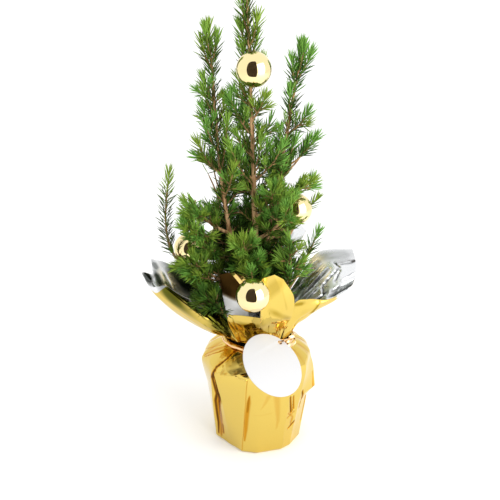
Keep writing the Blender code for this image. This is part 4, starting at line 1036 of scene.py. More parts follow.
def compost_surface():
    """A closed slab of compost with an uneven top, heaped a little round the trunk."""
    rings, sides = 16, 64
    points = [Vector((0, 0, COMPOST_TOP - 0.2))]
    for i in range(1, rings + 1):
        radius = COMPOST_RADIUS * i / rings
        for k in range(sides):
            place = around(360.0 * k / sides, radius, 0)
            rough = noise.noise(place * 0.16) * 0.7 + noise.noise(place * 0.5) * 0.35
            place.z = COMPOST_TOP - 0.9 + rough * (1 - (i / rings) ** 6)
            points.append(place)
    faces = [(0, 1 + k, 1 + (k + 1) % sides) for k in range(sides)]
    for i in range(rings - 1):
        for k in range(sides):
            a, b = 1 + i * sides + k, 1 + i * sides + (k + 1) % sides
            faces.append((a, a + sides, b + sides, b))
    base = len(points)
    rim = 1 + (rings - 1) * sides
    points += [around(360.0 * k / sides, POT_BASE_RADIUS - 2.0, POT_FLOOR_Z + 2.0) for k in range(sides)]
    for k in range(sides):
        after = (k + 1) % sides
        faces.append((rim + k, base + k, base + after, rim + after))
    faces.append(tuple(base + k for k in range(sides))[::-1])
    return points, faces


class SPRUCE_OT_pot(bpy.types.Operator):
    """Give the nursery pot its moulded plastic, and fill it with crumbly compost."""

    bl_idname = "spruce.pot"
    bl_label = "Pot and Compost"

    def execute(self, context):
        plastic = Finish("Moulded Plastic", (0.15, 0.06, 0.035), 0.5)
        plastic.vary(plastic.noise(120.0), "Roughness", 0.42, 0.62)
        plastic.bump(plastic.noise(2500.0, detail=2.0), 0.05 * MM, 0.4)
        pot = frame["nodes"]["pot"]
        pot.data.materials.clear()
        pot.data.materials.append(plastic.material)

        earth = Finish("Compost", (0.04, 0.025, 0.015), 0.95)
        earth.ramp(earth.noise(500.0, detail=5.0), [
            (0.32, (0.012, 0.008, 0.005)), (0.55, (0.045, 0.027, 0.015)), (0.72, (0.13, 0.08, 0.045))])
        earth.bump(earth.noise(1500.0, detail=5.0), 0.3 * MM)
        points, faces = compost_surface()
        piece = add_piece("compost_surface", points, faces, [earth.material], smooth_angle=40)
        add_crumbs(piece, earth.material)
        finished(piece, "compost", "compost")
        return {"FINISHED"}


def add_crumbs(piece, material):
    """Strew the top only: crumbs are grown on a copy of the upward faces and joined to the slab."""
    tops = bmesh.new()
    tops.from_mesh(piece.data)
    tops.normal_update()
    inner = (COMPOST_RADIUS - 2.5) * MM
    hidden = [f for f in tops.faces if f.normal.z < 0.5 or f.calc_center_median().xy.length > inner]
    bmesh.ops.delete(tops, geom=hidden, context="FACES")
    mesh = bpy.data.meshes.new("crumbs")
    tops.to_mesh(mesh)
    tops.free()
    crumbs = bpy.data.objects.new("crumbs", mesh)
    bpy.context.scene.collection.objects.link(crumbs)
    grow_with(crumbs, grain_tree(), {"Material": material})
    strewn = bmesh.new()
    strewn.from_mesh(piece.data)
    grown = bmesh.new()
    grown.from_mesh(crumbs.data)
    open_faces = [f for f in grown.faces if any(e.is_boundary for e in f.edges)]
    seen = set(open_faces)
    while open_faces:
        face = open_faces.pop()
        for edge in face.edges:
            for other in edge.link_faces:
                if other not in seen:
                    seen.add(other)
                    open_faces.append(other)
    bmesh.ops.delete(grown, geom=list(seen), context="FACES")
    grown.to_mesh(crumbs.data)
    grown.free()
    strewn.from_mesh(crumbs.data)
    strewn.to_mesh(piece.data)
    strewn.free()
    bpy.data.objects.remove(crumbs)


def pot_radius(height):
    """The hidden pot's outside, which the film can't pass."""
    if height > POT_TOP:
        return 0.0
    if height > POT_RIM_LOW:
        return POT_RIM_RADIUS
    share = (height - POT_FLOOR_Z) / (POT_RIM_LOW - POT_FLOOR_Z)
    return POT_BASE_RADIUS + (POT_WALL_TOP_RADIUS - POT_BASE_RADIUS) * max(0.0, share)


def crease_line(crease, height):
    """A long crease's azimuth and how far it stands out of the profile, at a height."""
    foot, middle, head, middle_out, head_out = crease
    if height < BAG_MIDDLE:
        share = height / BAG_MIDDLE
        corner = max(0.0, 1 - (BAG_MIDDLE - height) / BAG_CORNER_FADE)
        rise = corner if abs(middle_out) > 2.0 else share
        return between(foot, middle, share), middle_out * rise
    share = min(1.0, (height - BAG_MIDDLE) / (BAG_SHOULDER - BAG_MIDDLE))
    return between(middle, head, share), between(middle_out, head_out, share)


def bag_columns(height):
    """Every column's azimuth at a height: the creases, steps between them and the open fold's lines."""
    creases = [crease_line(crease, height)[0] for crease in BAG_CREASES]
    columns = []
    for start, end in zip(creases, creases[1:] + [creases[0] + 360]):
        if start == creases[1]:
            share = min(1.0, height / BAG_SHOULDER)
            valley, edge = between(*FOLD_VALLEY, share), between(*FOLD_EDGE, share)
            columns += [start, valley, edge, between(edge, end, 1 / 3), between(edge, end, 2 / 3)]
        else:
            columns += [between(start, end, k / BAG_STEPS_PER_FACET) for k in range(BAG_STEPS_PER_FACET)]
    return columns


def chord_radius(azimuth, start, end):
    """The radius of a straight line between two creases, each given as (azimuth, radius)."""
    whole = math.radians(end[0] - start[0])
    before, after = math.radians(azimuth - start[0]), math.radians(end[0] - azimuth)
    return start[1] * end[1] * math.sin(whole) / (end[1] * math.sin(after) + start[1] * math.sin(before))


def faceted_radius(azimuth, height, radius):
    """The bag's side at an azimuth: flat facets between the creases, passing into a circle above."""
    above = max(0.0, (height - BAG_SHOULDER) / (BAG_PROFILE[-1][0] - BAG_SHOULDER))
    fade = max(0.0, 1 - 2.5 * above)
    creases = [(line, radius + out * fade) for line, out in (crease_line(c, height) for c in BAG_CREASES)]
    creases.append((creases[0][0] + 360, creases[0][1]))
    turn = (azimuth - creases[0][0]) % 360 + creases[0][0]
    for start, end in zip(creases, creases[1:]):
        if start[0] <= turn <= end[0]:
            return between(radius, chord_radius(turn, start, end), fade)
    return radius


def bag_radius(azimuth, column, height, radius):
    """The side's facets, with the open fold pressed in between its two edges."""
    radius = faceted_radius(azimuth, height, radius)
    if column == BAG_STEPS_PER_FACET + 1:
        radius -= FOLD_DEPTHS.get(height, 0.0)
    return radius


def shoulder_ridges():
    """Ridges of the gathered film: azimuth at the neck and at the shoulder, and height."""
    rule = random.Random(RIDGE_SEED)
    ridges = []
    azimuth = -180.0
    while azimuth < 160:
        low = 0.1 if CALM_SHOULDER[0] < azimuth < CALM_SHOULDER[1] else 1.0
        ridges.append((azimuth, azimuth + rule.uniform(-11, 11), rule.uniform(0.5, 2.4) * low))
        azimuth += rule.uniform(13, 31)
    first = ridges[0]
    return ridges + [(first[0] + 360, first[1] + 360, first[2])]


def pleated(azimuth, height, ridges):
    """How far the gathered film stands out or in, and the painted shade in its valleys."""
    swell = min(1.0, (height - RIDGE_FOOT) / (RIDGE_FULL - RIDGE_FOOT))
    swell *= max(0.25, min(1.0, (BAG_PROFILE[-1][0] - 3 - height) / 6))
    spread = max(0.0, min(1.0, (107 - height) / (107 - RIDGE_FOOT)))
    lines = [(between(neck, foot, spread), rise) for neck, foot, rise in ridges]
    turn = (azimuth - lines[0][0]) % 360 + lines[0][0]
    for (start, first), (end, second) in zip(lines, lines[1:]):
        if start <= turn < end:
            share = (turn - start) / (end - start)
            height_here = between(first, second, share)
            wave = abs(2 * share - 1)
            # The second value is painted shade, darkest at the bottom of each valley
            return (wave - 0.5) * height_here * swell, (1 - wave) ** 3 * swell * 0.22 * height_here
    return 0.0, 0.0


def leaf_radius(azimuth, height, radius):
    """The crumpled leaf in front: upright up to its edge, and steep from there to the neck."""
    inside = min(azimuth - LEAF_SPAN[0], LEAF_SPAN[1] - azimuth) / LEAF_FADE
    if inside <= 0.0 or not BAG_SHOULDER < height < LEAF_TOP[0]:
        return radius
    upright = faceted_radius(azimuth, BAG_SHOULDER, LEAF_FOOT)
    steep = LEAF_TOP[1] + LEAF_SLOPE * (LEAF_TOP[0] - height)
    steep += LEAF_CRUSH * crumple(azimuth / LEAF_CREASE, height / LEAF_CREASE * 1.6, RIDGE_SEED)
    return between(radius, min(upright, steep), min(1.0, inside))


def pressed(azimuth, height):
    """How deep the pressed folds are at a place on the bag, and how brown their painted shade and reflection turn
    it.
    """
    place = Vector((azimuth * BAG_ARC, height, 0))
    depth = tint = 0.0
    for path, most, brown in BAG_PRESSES:
        found = 0.0
        for (a0, h0, w0), (a1, h1, w1) in zip(path, path[1:]):
            middle = (a0 + a1) / 2
            place.x = ((azimuth - middle + 180) % 360 - 180 + middle) * BAG_ARC
            if abs(place.x - middle * BAG_ARC) > 30:
                continue
            gap, share = near_line(place, Vector((a0 * BAG_ARC, h0, 0)), Vector((a1 * BAG_ARC, h1, 0)))
            found = max(found, 1 - gap / between(w0, w1, share))
        found = max(0.0, found)
        depth += most * found * found * (3 - 2 * found)
        # Painted shade and reflection along the fold, browner towards its middle
        tint = max(tint, brown * min(1.0, 1.8 * found))
    return depth, tint


def bag_outside():
    """The solids' corners joined by straight stretches below and smooth ones over the shoulder."""
    rows = []
    for height, radius in BAG_PROFILE:
        rows.append([around(azimuth, bag_radius(azimuth, column, height, radius), height)
                     for column, azimuth in enumerate(bag_columns(height))])
    fine = []
    for i in range(len(rows) - 1):
        low = BAG_PROFILE[i][0]
        step = BAG_ROW_STEP * (0.6 if low >= BAG_SHOULDER else 1.0)
        count = max(1, round((BAG_PROFILE[i + 1][0] - low) / step))
        four = [rows[max(i - 1, 0)], rows[i], rows[i + 1], rows[min(i + 2, len(rows) - 1)]]
        for k in range(count):
            share = k / count
            if low >= BAG_SMOOTH_ABOVE:
                fine.append([on_curve(*corners, share) for corners in zip(*four)])
            else:
                fine.append([a.lerp(b, share) for a, b in zip(four[1], four[2])])
    fine.append(rows[-1])
    return [[a.lerp(b, k / BAG_FINE_STEPS) for a, b in zip(row, row[1:] + row[:1])
             for k in range(BAG_FINE_STEPS)] for row in fine]


def bag_point(point, ridges, share):
    """A place of the film with its folds, and how dark their painted shade and reflection make it."""
    radius = point.xy.length
    height = point.z
    azimuth = math.degrees(math.atan2(point.x, -point.y))
    depth, tint = pressed(azimuth, height)
    foot = min(1.0, height / 6.0)
    top = min(1.0, max(0.0, (104 - height) / 12))
    radius = leaf_radius(azimuth, height, radius)
    radius += noise.noise(around(azimuth, 2.4, height * 0.035)) * 0.35 * share * foot * top
    radius -= depth * foot
    if height > RIDGE_FOOT:
        out, dark = pleated(azimuth, height, ridges)
        radius += min(out, 1.5) * share
        # with the painted shade in the pleats' valleys
        tint = max(tint, dark)
    return around(azimuth, max(radius, pot_radius(height) + 0.8), height), tint


def bag_mesh(thickness, share):
    """Outside and inside of the bag as one closed shell, and each point's painted fold shade."""
    ridges = shoulder_ridges()
    rows = [[bag_point(point, ridges, share) for point in row] for row in bag_outside()]
    count = len(rows[0])
    outside = [place for row in rows for place, _ in row]
    folds = [fold for row in rows for _, fold in row]
    inside = []
    for k, point in enumerate(outside):
        level = Vector((point.x, point.y, 0))
        shrunk = level * (1 - thickness / level.length)
        shrunk.z = max(point.z, thickness) if k // count < len(rows) - 1 else point.z
        inside.append(shrunk)
    points = outside + inside
    back = len(outside)
    faces = []
    for i in range(len(rows) - 1):
        for k in range(count):
            a, b = i * count + k, i * count + (k + 1) % count
            quad = (a, b, b + count, a + count)
            faces += [quad, tuple(back + v for v in quad[::-1])]
    top = (len(rows) - 1) * count
    for k in range(count):
        after = (k + 1) % count
        faces.append((top + k, top + after, back + top + after, back + top + k))
    for start, height in ((0, 0.0), (back, thickness)):
        centre = len(points)
        points.append(Vector((0, 0, height)))
        for k in range(count):
            triangle = (start + k, centre, start + (k + 1) % count)
            faces.append(triangle if start == 0 else triangle[::-1])
    return points, faces, folds + [0.0] * (len(points) - back)


class SPRUCE_OT_bag(bpy.types.Operator):
    """Wrap the pot in gold film: flat facets, long creases, pressed folds and a pleated shoulder."""

    bl_idname = "spruce.bag"
    bl_label = "Foil Bag"

    def execute(self, context):
        foil = context.scene.spruce_foil
        points, faces, folds = bag_mesh(foil.thickness / MM, foil.crumple)
        gold = film("Gold Film", foil.gold, foil.roughness, GOLD_PAINTED_FOLD_SHADE)
        bag = add_piece("gold_bag", points, faces, [gold], 16.0)
        set_painted_fold_shade(bag, folds)
        finished(bag, "foil", "foil_bag")
        return {"FINISHED"}


# Foil corners

def petal_columns(name):
    return [[around(column[0], NECK_RADIUS, NECK_TOP)] + list(column[1:]) for column in FOIL_PETALS[name]]


def bag_surface(azimuth, height, offset):
    """A point outside the bag's side, in millimetres."""
    for (low, first), (high, second) in zip(BAG_PROFILE, BAG_PROFILE[1:]):
        if low <= height <= high:
            radius = first + (second - first) * (height - low) / (high - low)
            return around(azimuth, radius + offset, height)
    return around(azimuth, BAG_PROFILE[-1][1] + offset, height)


def sheet_columns(name):
    if name in FOIL_PETALS:
        return petal_columns(name)
    if name == "foil_front_flap":
        return FLAP_COLUMNS
    return [[bag_surface(*place) for place in column] for column in zip(*RIBBON_COLUMNS)]


def creases_of(name, rows):
    """A sheet's straight creases as stretches between two of its places."""
    high, wide = len(rows) - 1, len(rows[0]) - 1
    found = []
    for *ends, half, rise, dark in SHEET_CREASES.get(name, ()):
        start, end = (rows[round(v * high)][round(u * wide)].copy() for u, v in ends)
        (first, _), (last, _) = sorted(ends)
        found.append((start, end, half, rise, dark, first - CREASE_SPAN, last + CREASE_SPAN))
    return found


def creased(point, across, creases):
    """How far a place is lifted by the sheet's creases, and how dark their painted shade and reflection make it.
    """
    lift = dark = 0.0
    for start, end, half, rise, shade, first, last in creases:
        if not first <= across <= last:
            continue
        gap, share = near_line(point, start, end)
        if gap < half:
            found = (1 - gap / half) * min(1.0, 0.35 + 3 * min(share, 1 - share))
            lift += rise * found
            dark = max(dark, min(1.0, shade, 1.6 * shade * found))
    return lift, dark


def sheet_rows(name, steps, share=1.0):
    """A sheet's grid with its creases and the pleats where the tie gathers it, and their painted shade and
    reflection.
    """
    rows = refine(sheet_columns(name), steps, steps, name in FLAT_ACROSS)
    across, up, depth, pleats, pleat = CRUMPLES[name]
    normals = grid_normals(rows)
    creases = creases_of(name, rows)
    seed = len(name) + ord(name[5])
    last = len(rows) - 1
    folds = []
    for i, row in enumerate(rows):
        rise = i / last
        fade = min(1.0, rise / 0.18)
        for j, point in enumerate(row):
            shift = crumple(j / steps * across, i / steps * up, seed) * depth * share * fade
            lift, dark = creased(point, j / (len(row) - 1), creases)
            shift += lift * share
            if pleats:
                gather = rise / 0.1 * math.exp(1 - rise / 0.1)
                phase = j / steps * pleats + 0.9 * noise.noise(Vector((j / steps * 1.7, rise * 3, seed)))
                wave = 4 * abs(phase - math.floor(phase) - 0.5) - 1
                shift += pleat * gather * wave
                # Painted shade in the pleats' valleys
                dark = max(dark, PLEAT_SHADE * pleat * gather * max(0.0, -wave))
            row[j] = point + normals[i][j] * shift
            folds.append(dark)
    return rows, folds


class SPRUCE_OT_corners(bpy.types.Operator):
    """Open the gathered film into its four corners: gold outside, silver inside."""

    bl_idname = "spruce.corners"
    bl_label = "Foil Corners"

    def execute(self, context):
        foil = context.scene.spruce_foil
        gold = film("Gold Film Corners", foil.gold, foil.roughness, CORNER_PAINTED_FOLD_SHADE)
        front = film("Gold Film Front", foil.gold, foil.roughness, FRONT_PAINTED_FOLD_SHADE)
        silver = film("Silver Film", foil.silver, foil.soft, SILVER_PAINTED_FOLD_SHADE)
        # Pale film on the flap's inside: its white is a painted reflection of the floor, its brown painted shade
        # and reflection
        pale = film("Pale Film Flap", FLAP_PAINTED_REFLECTION, 0.5, FLAP_PAINTED_FOLD_SHADE, pale=True)
        for name in (*FOIL_PETALS, "foil_front_flap"):
            rows, folds = sheet_rows(name, SHEET_STEPS, foil.crumple)
            points, faces, sides = thicken(rows, foil.thickness / MM)
            outside = gold if name == "foil_left" else front
            materials = [silver, outside] if name in SILVER_FIRST else [outside, silver]
            if name == "foil_left":
                sides = [0 if first // len(rows[0]) % len(rows) >= LEFT_END * len(rows) else side
                         for side, (first, *_) in zip(sides, faces)]
            if name == "foil_front_flap":
                materials.append(pale)
                wide = len(rows[0])
                sides = [2 if side == 0 and first % wide < FLAP_PAINTED_REFLECTION_SHARE * wide else side
                         for side, (first, *_) in zip(sides, faces)]
            piece = add_piece(name.replace("foil", "film"), points, faces, materials, 18.0, sides)
            set_painted_fold_shade(piece, folds * 2)
            finished(piece, "foil", name)
        return {"FINISHED"}


# Tie, knot and tag

def tag_axes():
    """The tag's own axes: level along the card, up the card, and its normal."""
    normal = Vector(TAG_NORMAL).normalized()
    level = Vector((-normal.y, normal.x, 0)).normalized()
    return level, normal.cross(level).normalized(), normal


def tag_hole():
    level, upward, _ = tag_axes()
    turn = math.radians(TAG_HOLE_TURN)
    outward = level * math.cos(turn) + upward * math.sin(turn)
    return Vector(TAG_CENTRE) + outward * TAG_HOLE_OFFSET, outward


def band(path, across, width, steps, thickness=0.35, curl=0.12):
    """A ribbon along a smooth path: its width lies along the given directions."""
    line = through([Vector(p) for p in path], steps)
    lean = through([Vector(a).normalized() for a in across], steps)
    columns = (-0.5, -0.25, 0.0, 0.25, 0.5)
    rows = []
    for k, (place, side) in enumerate(zip(line, lean)):
        ahead = line[min(k + 1, len(line) - 1)] - line[max(k - 1, 0)]
        out = side.cross(ahead).normalized()
        rows.append([place + side.normalized() * width * c + out * width * curl * (1 - 16 * c ** 4)
                     for c in columns])
    points, faces, _ = thicken(rows, thickness)
    return points, faces


def tie_ring():
    """A flat ribbon drawn round the neck, pressed into its pleats."""
    steps, sides = 240, 10
    points = []
    for i in range(steps):
        azimuth = 360.0 * i / steps
        pleat = 0.25 * math.cos(math.radians(TIE_WAVES * azimuth))
        slope = 0.9 * math.sin(math.radians(azimuth + 50)) + 0.25 * math.sin(math.radians(7 * azimuth))
        for j in range(sides):
            angle = math.tau * j / sides
            radius = TIE_RADIUS + pleat + 0.62 * math.cos(angle)
            points.append(around(azimuth, radius, TIE_HEIGHT + slope * 0.5 + 1.25 * math.sin(angle)))
    faces = []
    for i in range(steps):
        for j in range(sides):
            after, beside = (i + 1) % steps, (j + 1) % sides
            faces.append((i * sides + j, after * sides + j, after * sides + beside, i * sides + beside))
    return points, faces


def knot_bands():
    """The knot: a few turns of ribbon folded over each other, and a ring through the tag."""
    heap = Heap()
    centre = Vector(KNOT_CENTRE)
    loops = [
        ([(-9, -4, 1.5), (-6.5, -6, 4), (-2, -5, 3), (0, -3.5, 0), (-3, -5, -2.5), (-8, -5.5, -1.5)], 3.4),
        ([(0, -4, -4.5), (-1.5, -6, -1), (0.5, -6, 3), (3, -3, 5), (4, 0, 3)], 4.0),
        ([(-2, -4.5, 2.5), (2, -6, 0.5), (6, -3, -0.5), (8.5, 1, 1.5), (6, 2.5, 4), (2, 0, 4)], 3.6),
        ([(4, -2, -3), (1, -5, -3.2), (-3, -4.5, -0.5), (-4.5, -2, 2.5)], 3.0),
    ]
    for path, width in loops:
        places = [centre + Vector(p) for p in path]
        across = [Vector((0.25 * math.sin(k * 1.3), 0.35, 1.0)) for k in range(len(path))]
        heap.add(*band(places, across, width, 8))
    hole, _ = tag_hole()
    reach = centre - hole
    side = tag_axes()[2].cross(reach).normalized()
    over = side.cross(reach)
    ring = [hole + (reach * (1 - math.cos(math.tau * k / 12)) + over * math.sin(math.tau * k / 12)) / 2
            for k in range(13)]
    heap.add(*band(ring, [side] * 13, 1.5, 4, curl=0.0))
    return heap


class SPRUCE_OT_tie(bpy.types.Operator):
    """Tie the neck with a thin ribbon, its knot, and a loose crumpled end on the shoulder."""

    bl_idname = "spruce.tie"
    bl_label = "Tie and Knot"

    def execute(self, context):
        foil = context.scene.spruce_foil
        ribbon = film("Ribbon", (0.86, 0.56, 0.30), 0.2)
        ring = add_piece("ribbon_ring", *tie_ring(), [ribbon], 40)
        finished(ring, "ribbon", "ribbon_tie")
        heap = knot_bands()
        knot = add_piece("ribbon_bow", heap.points, heap.faces, [ribbon], 35)
        finished(knot, "ribbon", "ribbon_knot")
        rows, folds = sheet_rows("ribbon_end", SHEET_STEPS, foil.crumple)
        points, faces, _ = thicken(rows, foil.thickness / MM)
        crumpled = film("Crumpled End", foil.gold, END_ROUGHNESS, GOLD_PAINTED_FOLD_SHADE)
        end = add_piece("ribbon_tail", points, faces, [crumpled], 16)
        set_painted_fold_shade(end, folds * 2)
        finished(end, "ribbon", "ribbon_end")
        return {"FINISHED"}


class SPRUCE_OT_tag(bpy.types.Operator):
    """Cut the blank round card, with its hole and a softly rounded edge."""

    bl_idname = "spruce.tag"
    bl_label = "Gift Tag"

    def execute(self, context):
        card = Finish("White Card", (0.55, 0.55, 0.56), 0.6)
        card.bump(card.noise(1800.0, detail=4.0), 0.02 * MM, 0.35)
        card.vary(card.noise(300.0), "Roughness", 0.52, 0.68)
        outline = bpy.data.curves.new("tag_outline", "CURVE")
        outline.dimensions = "2D"
        outline.fill_mode = "BOTH"
        edge = 0.08 * MM
        outline.extrude = TAG_THICKNESS / 2 * MM - edge
        outline.bevel_depth = edge
        outline.bevel_resolution = 2
        turn = math.radians(TAG_HOLE_TURN)
        offset = (TAG_HOLE_OFFSET * math.cos(turn), TAG_HOLE_OFFSET * math.sin(turn))
        circles = ((TAG_RADIUS - edge / MM, (0, 0), 144), (TAG_HOLE_RADIUS + edge / MM, offset, 32))
        for radius, centre, count in circles:
            spline = outline.splines.new("POLY")
            spline.points.add(count - 1)
            spline.use_cyclic_u = True
            for k in range(count):
                angle = math.tau * k / count
                x = centre[0] + radius * math.cos(angle)
                y = centre[1] + radius * math.sin(angle)
                spline.points[k].co = (x * MM, y * MM, 0, 1)
        flat = bpy.data.objects.new("flat", outline)
        bpy.context.scene.collection.objects.link(flat)
        depsgraph = bpy.context.evaluated_depsgraph_get()
        mesh = bpy.data.meshes.new_from_object(flat.evaluated_get(depsgraph))
        bpy.data.objects.remove(flat)
        placed = Matrix(tag_axes()).transposed().to_4x4()
        placed.translation = Vector(TAG_CENTRE) * MM
        mesh.transform(placed)
        tidy_mesh(mesh)
        mesh.name = "blank_tag"
        mesh.materials.clear()
        mesh.materials.append(card.material)
        piece = bpy.data.objects.new("blank_tag", mesh)
        bpy.context.scene.collection.objects.link(piece)
        mesh.set_sharp_from_angle(angle=math.radians(50))
        finished(piece, "card", "gift_tag")
        return {"FINISHED"}


def tidy_mesh(mesh):
    """Merge doubled points and turn every face outwards."""
    work = bmesh.new()
    work.from_mesh(mesh)
    bmesh.ops.remove_doubles(work, verts=work.verts, dist=1e-6)
    bmesh.ops.recalc_face_normals(work, faces=work.faces)
    work.to_mesh(mesh)
    work.free()


# Limbs

class Limb:
    """A tapering limb on a quadratic curve; places in millimetres."""

    def __init__(self, root, elbow, tip, root_radius, tip_radius, flare=0.0):
        self.ends = [Vector(root), Vector(elbow), Vector(tip)]
        self.radii = (root_radius, tip_radius)
        self.flare = flare

    def at(self, t):
        a, b, c = self.ends
        return a * (1 - t) ** 2 + b * 2 * t * (1 - t) + c * t * t

    def along(self, t):
        a, b, c = self.ends
        return ((b - a) * (1 - t) + (c - b) * t).normalized()

    def radius(self, t):
        first, last = self.radii
        rise = (self.at(t) - self.ends[0]).length
        return first + (last - first) * t + self.flare * math.exp(-rise / FLARE_FADE)

    def at_height(self, height):
        """The curve's parameter at a height."""
        low, high = 0.0, 1.0
        for _ in range(30):
            middle = (low + high) / 2
            if self.at(middle).z < height:
                low = middle
            else:
                high = middle
        return (low + high) / 2

    def length(self):
        return sum((self.at((k + 1) / 12) - self.at(k / 12)).length for k in range(12))


def elbow_between(root, tip):
    """A side limb leaves outwards and then turns up."""
    reach = Vector(tip) - Vector(root)
    return Vector(root) + Vector((reach.x * ELBOW_OUT, reach.y * ELBOW_OUT, reach.z * ELBOW_UP))


def grow_limbs():
    """Every leader and bough."""
    limbs = {}
    for name, (root, elbow, tip, first, last) in LEADERS.items():
        parent = LEADER_PARENTS.get(name)
        if parent:
            root = limbs[parent].at(limbs[parent].at_height(root[2]))
        limbs[name] = Limb(root, elbow, tip, first, last, 0.0 if parent else FLARE_EXTRA)
    for name, (parent, height, end) in BOUGHS.items():
        root = limbs[parent].at(limbs[parent].at_height(height))
        limbs[name] = Limb(root, elbow_between(root, end), end, BOUGH_ROOT_RADIUS, BOUGH_END_RADIUS)
    return limbs


def bark_radius(limb, t, angle, relief):
    """Ridges along the limb, broken across, with the woody pegs that fallen needles leave."""
    radius = limb.radius(t)
    height = limb.at(t).z
    round_place = Vector((math.cos(angle) * 2.2, math.sin(angle) * 2.2, height * 0.10))
    ridges = noise.fractal(round_place, 1.0, 2.0, 3)
    pegs = max(0.0, noise.noise(Vector((math.cos(angle) * 4, math.sin(angle) * 4, height * 0.55))) - 0.15)
    share = radius / LEADERS["trunk"][3]
    return radius * BARK_SWELL + relief / MM * (ridges * share + pegs * 1.4)


def limb_mesh(limb, relief, sides):
    length = limb.length()
    count = max(12, int(length / 0.9))
    places = [k / count for k in range(count + 1)]
    centres = [limb.at(t) for t in places]

    def radii(k, angle):
        closing = 0.45 if k == count else 1.0
        return bark_radius(limb, places[k], angle, relief) * closing

    return ring_tube(centres, radii, sides)


class SPRUCE_OT_bark(bpy.types.Operator):
    """Grow the trunk, the two side leaders and the boughs, with the bark's relief."""

    bl_idname = "spruce.bark"
    bl_label = "Trunk and Boughs"

    def execute(self, context):
        bark = context.scene.spruce_bark
        limbs = grow_limbs()
        heap = Heap()
        for name, limb in limbs.items():
            heap.add(*limb_mesh(limb, bark.relief, 22 if name in LEADERS else 12))
        wood = bark_finish("Bark", bark.light, bark.dark, 320.0)
        piece = add_piece("bark_limbs", heap.points, heap.faces, [wood], smooth_angle=70)
        finished(piece, "bark", *limbs)
        return {"FINISHED"}


# Shoots and needles

def stopped_short(root, tip, short):
    """Where a stem ends whose last needles reach a tip."""
    reach = Vector(tip) - root
    return root + reach * max(0.4, 1 - short / reach.length)


def stem_of(row, name, limbs):
    """The curve that a mass's own stem follows."""
    parent = limbs[row[0]]
    if name in LEADER_MASSES:
        root = parent.at(parent.at_height(row[1]))
        tip = stopped_short(root, row[2], TIP_REACH)
        return Limb(root, elbow_between(root, tip), tip, SHOOT_RADIUS, TWIG_TIP_RADIUS)
    root = parent.at(1.0)
    tip = stopped_short(root, row[1], TOP_REACH if name in TOP_MASSES else TIP_REACH)
    elbow = root + parent.along(1.0) * (tip - root).length * 0.3
    return Limb(root, elbow, tip, min(parent.radii[1], SHOOT_RADIUS), TWIG_TIP_RADIUS)


def turned_from(direction, angle, turn):
    """A direction at an angle from another and a turn round it."""
    side = direction.cross(Vector((0.31, 0.95, 0.05))).normalized()
    over = direction.cross(side)
    lean, turn = math.radians(angle), math.radians(turn)
    return direction * math.cos(lean) + (side * math.cos(turn) + over * math.sin(turn)) * math.sin(lean)


class Obstacles:
    """Foil and balls, which no twig or needle may cut through."""

    def __init__(self):
        points = []
        for name in (*FOIL_PETALS, "foil_front_flap"):
            points += [point for row in sheet_rows(name, 9)[0] for point in row]
        self.near = KDTree(len(points))
        for k, point in enumerate(points):
            self.near.insert(point, k)
        self.near.balance()
        self.lanes = [(Vector(a), Vector(b), radius) for a, b, radius in LANES]

    def clear(self, start, end):
        for share in (0.4, 0.7, 1.0):
            point = start.lerp(end, share)
            if self.near.find(point)[2] < SHEET_CLEAR:
                return False
            if any((point - Vector(centre)).length < BALL_RADIUS + 0.6 for centre, _ in BALLS.values()):
                return False
            if any(near_line(point, a, b)[0] < radius for a, b, radius in self.lanes):
                return False
        return end.z > COMPOST_TOP + 4


class Shoot:
    """A needled stretch of a stem: its share of painted light, how far its needles spread, how many it
    keeps, how long they are, and how many stand round its bud."""

    def __init__(self, limb, begin=0.0, end=1.0, wood=True, shade=0.5, spread=1.0, crowd=1.0,
                 size=INNER_SIZE, bud=BUD_NEEDLES):
        self.limb = limb
        self.begin = begin
        self.end = end
        self.wood = wood
        self.shade = shade
        self.spread = spread
        self.crowd = crowd
        self.size = size
        self.bud = bud


def side_shoots(stem, count, rule, obstacles, length, first=0.2, spread=0.5):
    """Twigs off to alternate sides of a stem, shorter towards its tip."""
    turn = rule.uniform(0, 360)
    grown = []
    for k in range(count):
        t = first + spread * k / max(1, count)
        turn += 160 + rule.uniform(-20, 20)
        direction = turned_from(stem.along(t), TWIG_ANGLE + rule.uniform(-6, 6), turn)
        direction.z = max(direction.z, -0.1)
        root = stem.at(t)
        tip = root + direction.normalized() * length * (1.1 - 0.5 * t) * rule.uniform(0.85, 1.1)
        if obstacles.clear(root, tip):
            middle = root.lerp(tip, 0.5) - Vector((0, 0, 0.8))
            grown.append(Limb(root, middle, tip, TWIG_RADIUS, TWIG_TIP_RADIUS))
    return grown


def shoot_to(stem, height, tip):
    root = stem.at(stem.at_height(height))
    tip = stopped_short(root, tip, FINE_REACH)
    return Limb(root, elbow_between(root, tip), tip, SHOOT_RADIUS * 0.8, TWIG_TIP_RADIUS)


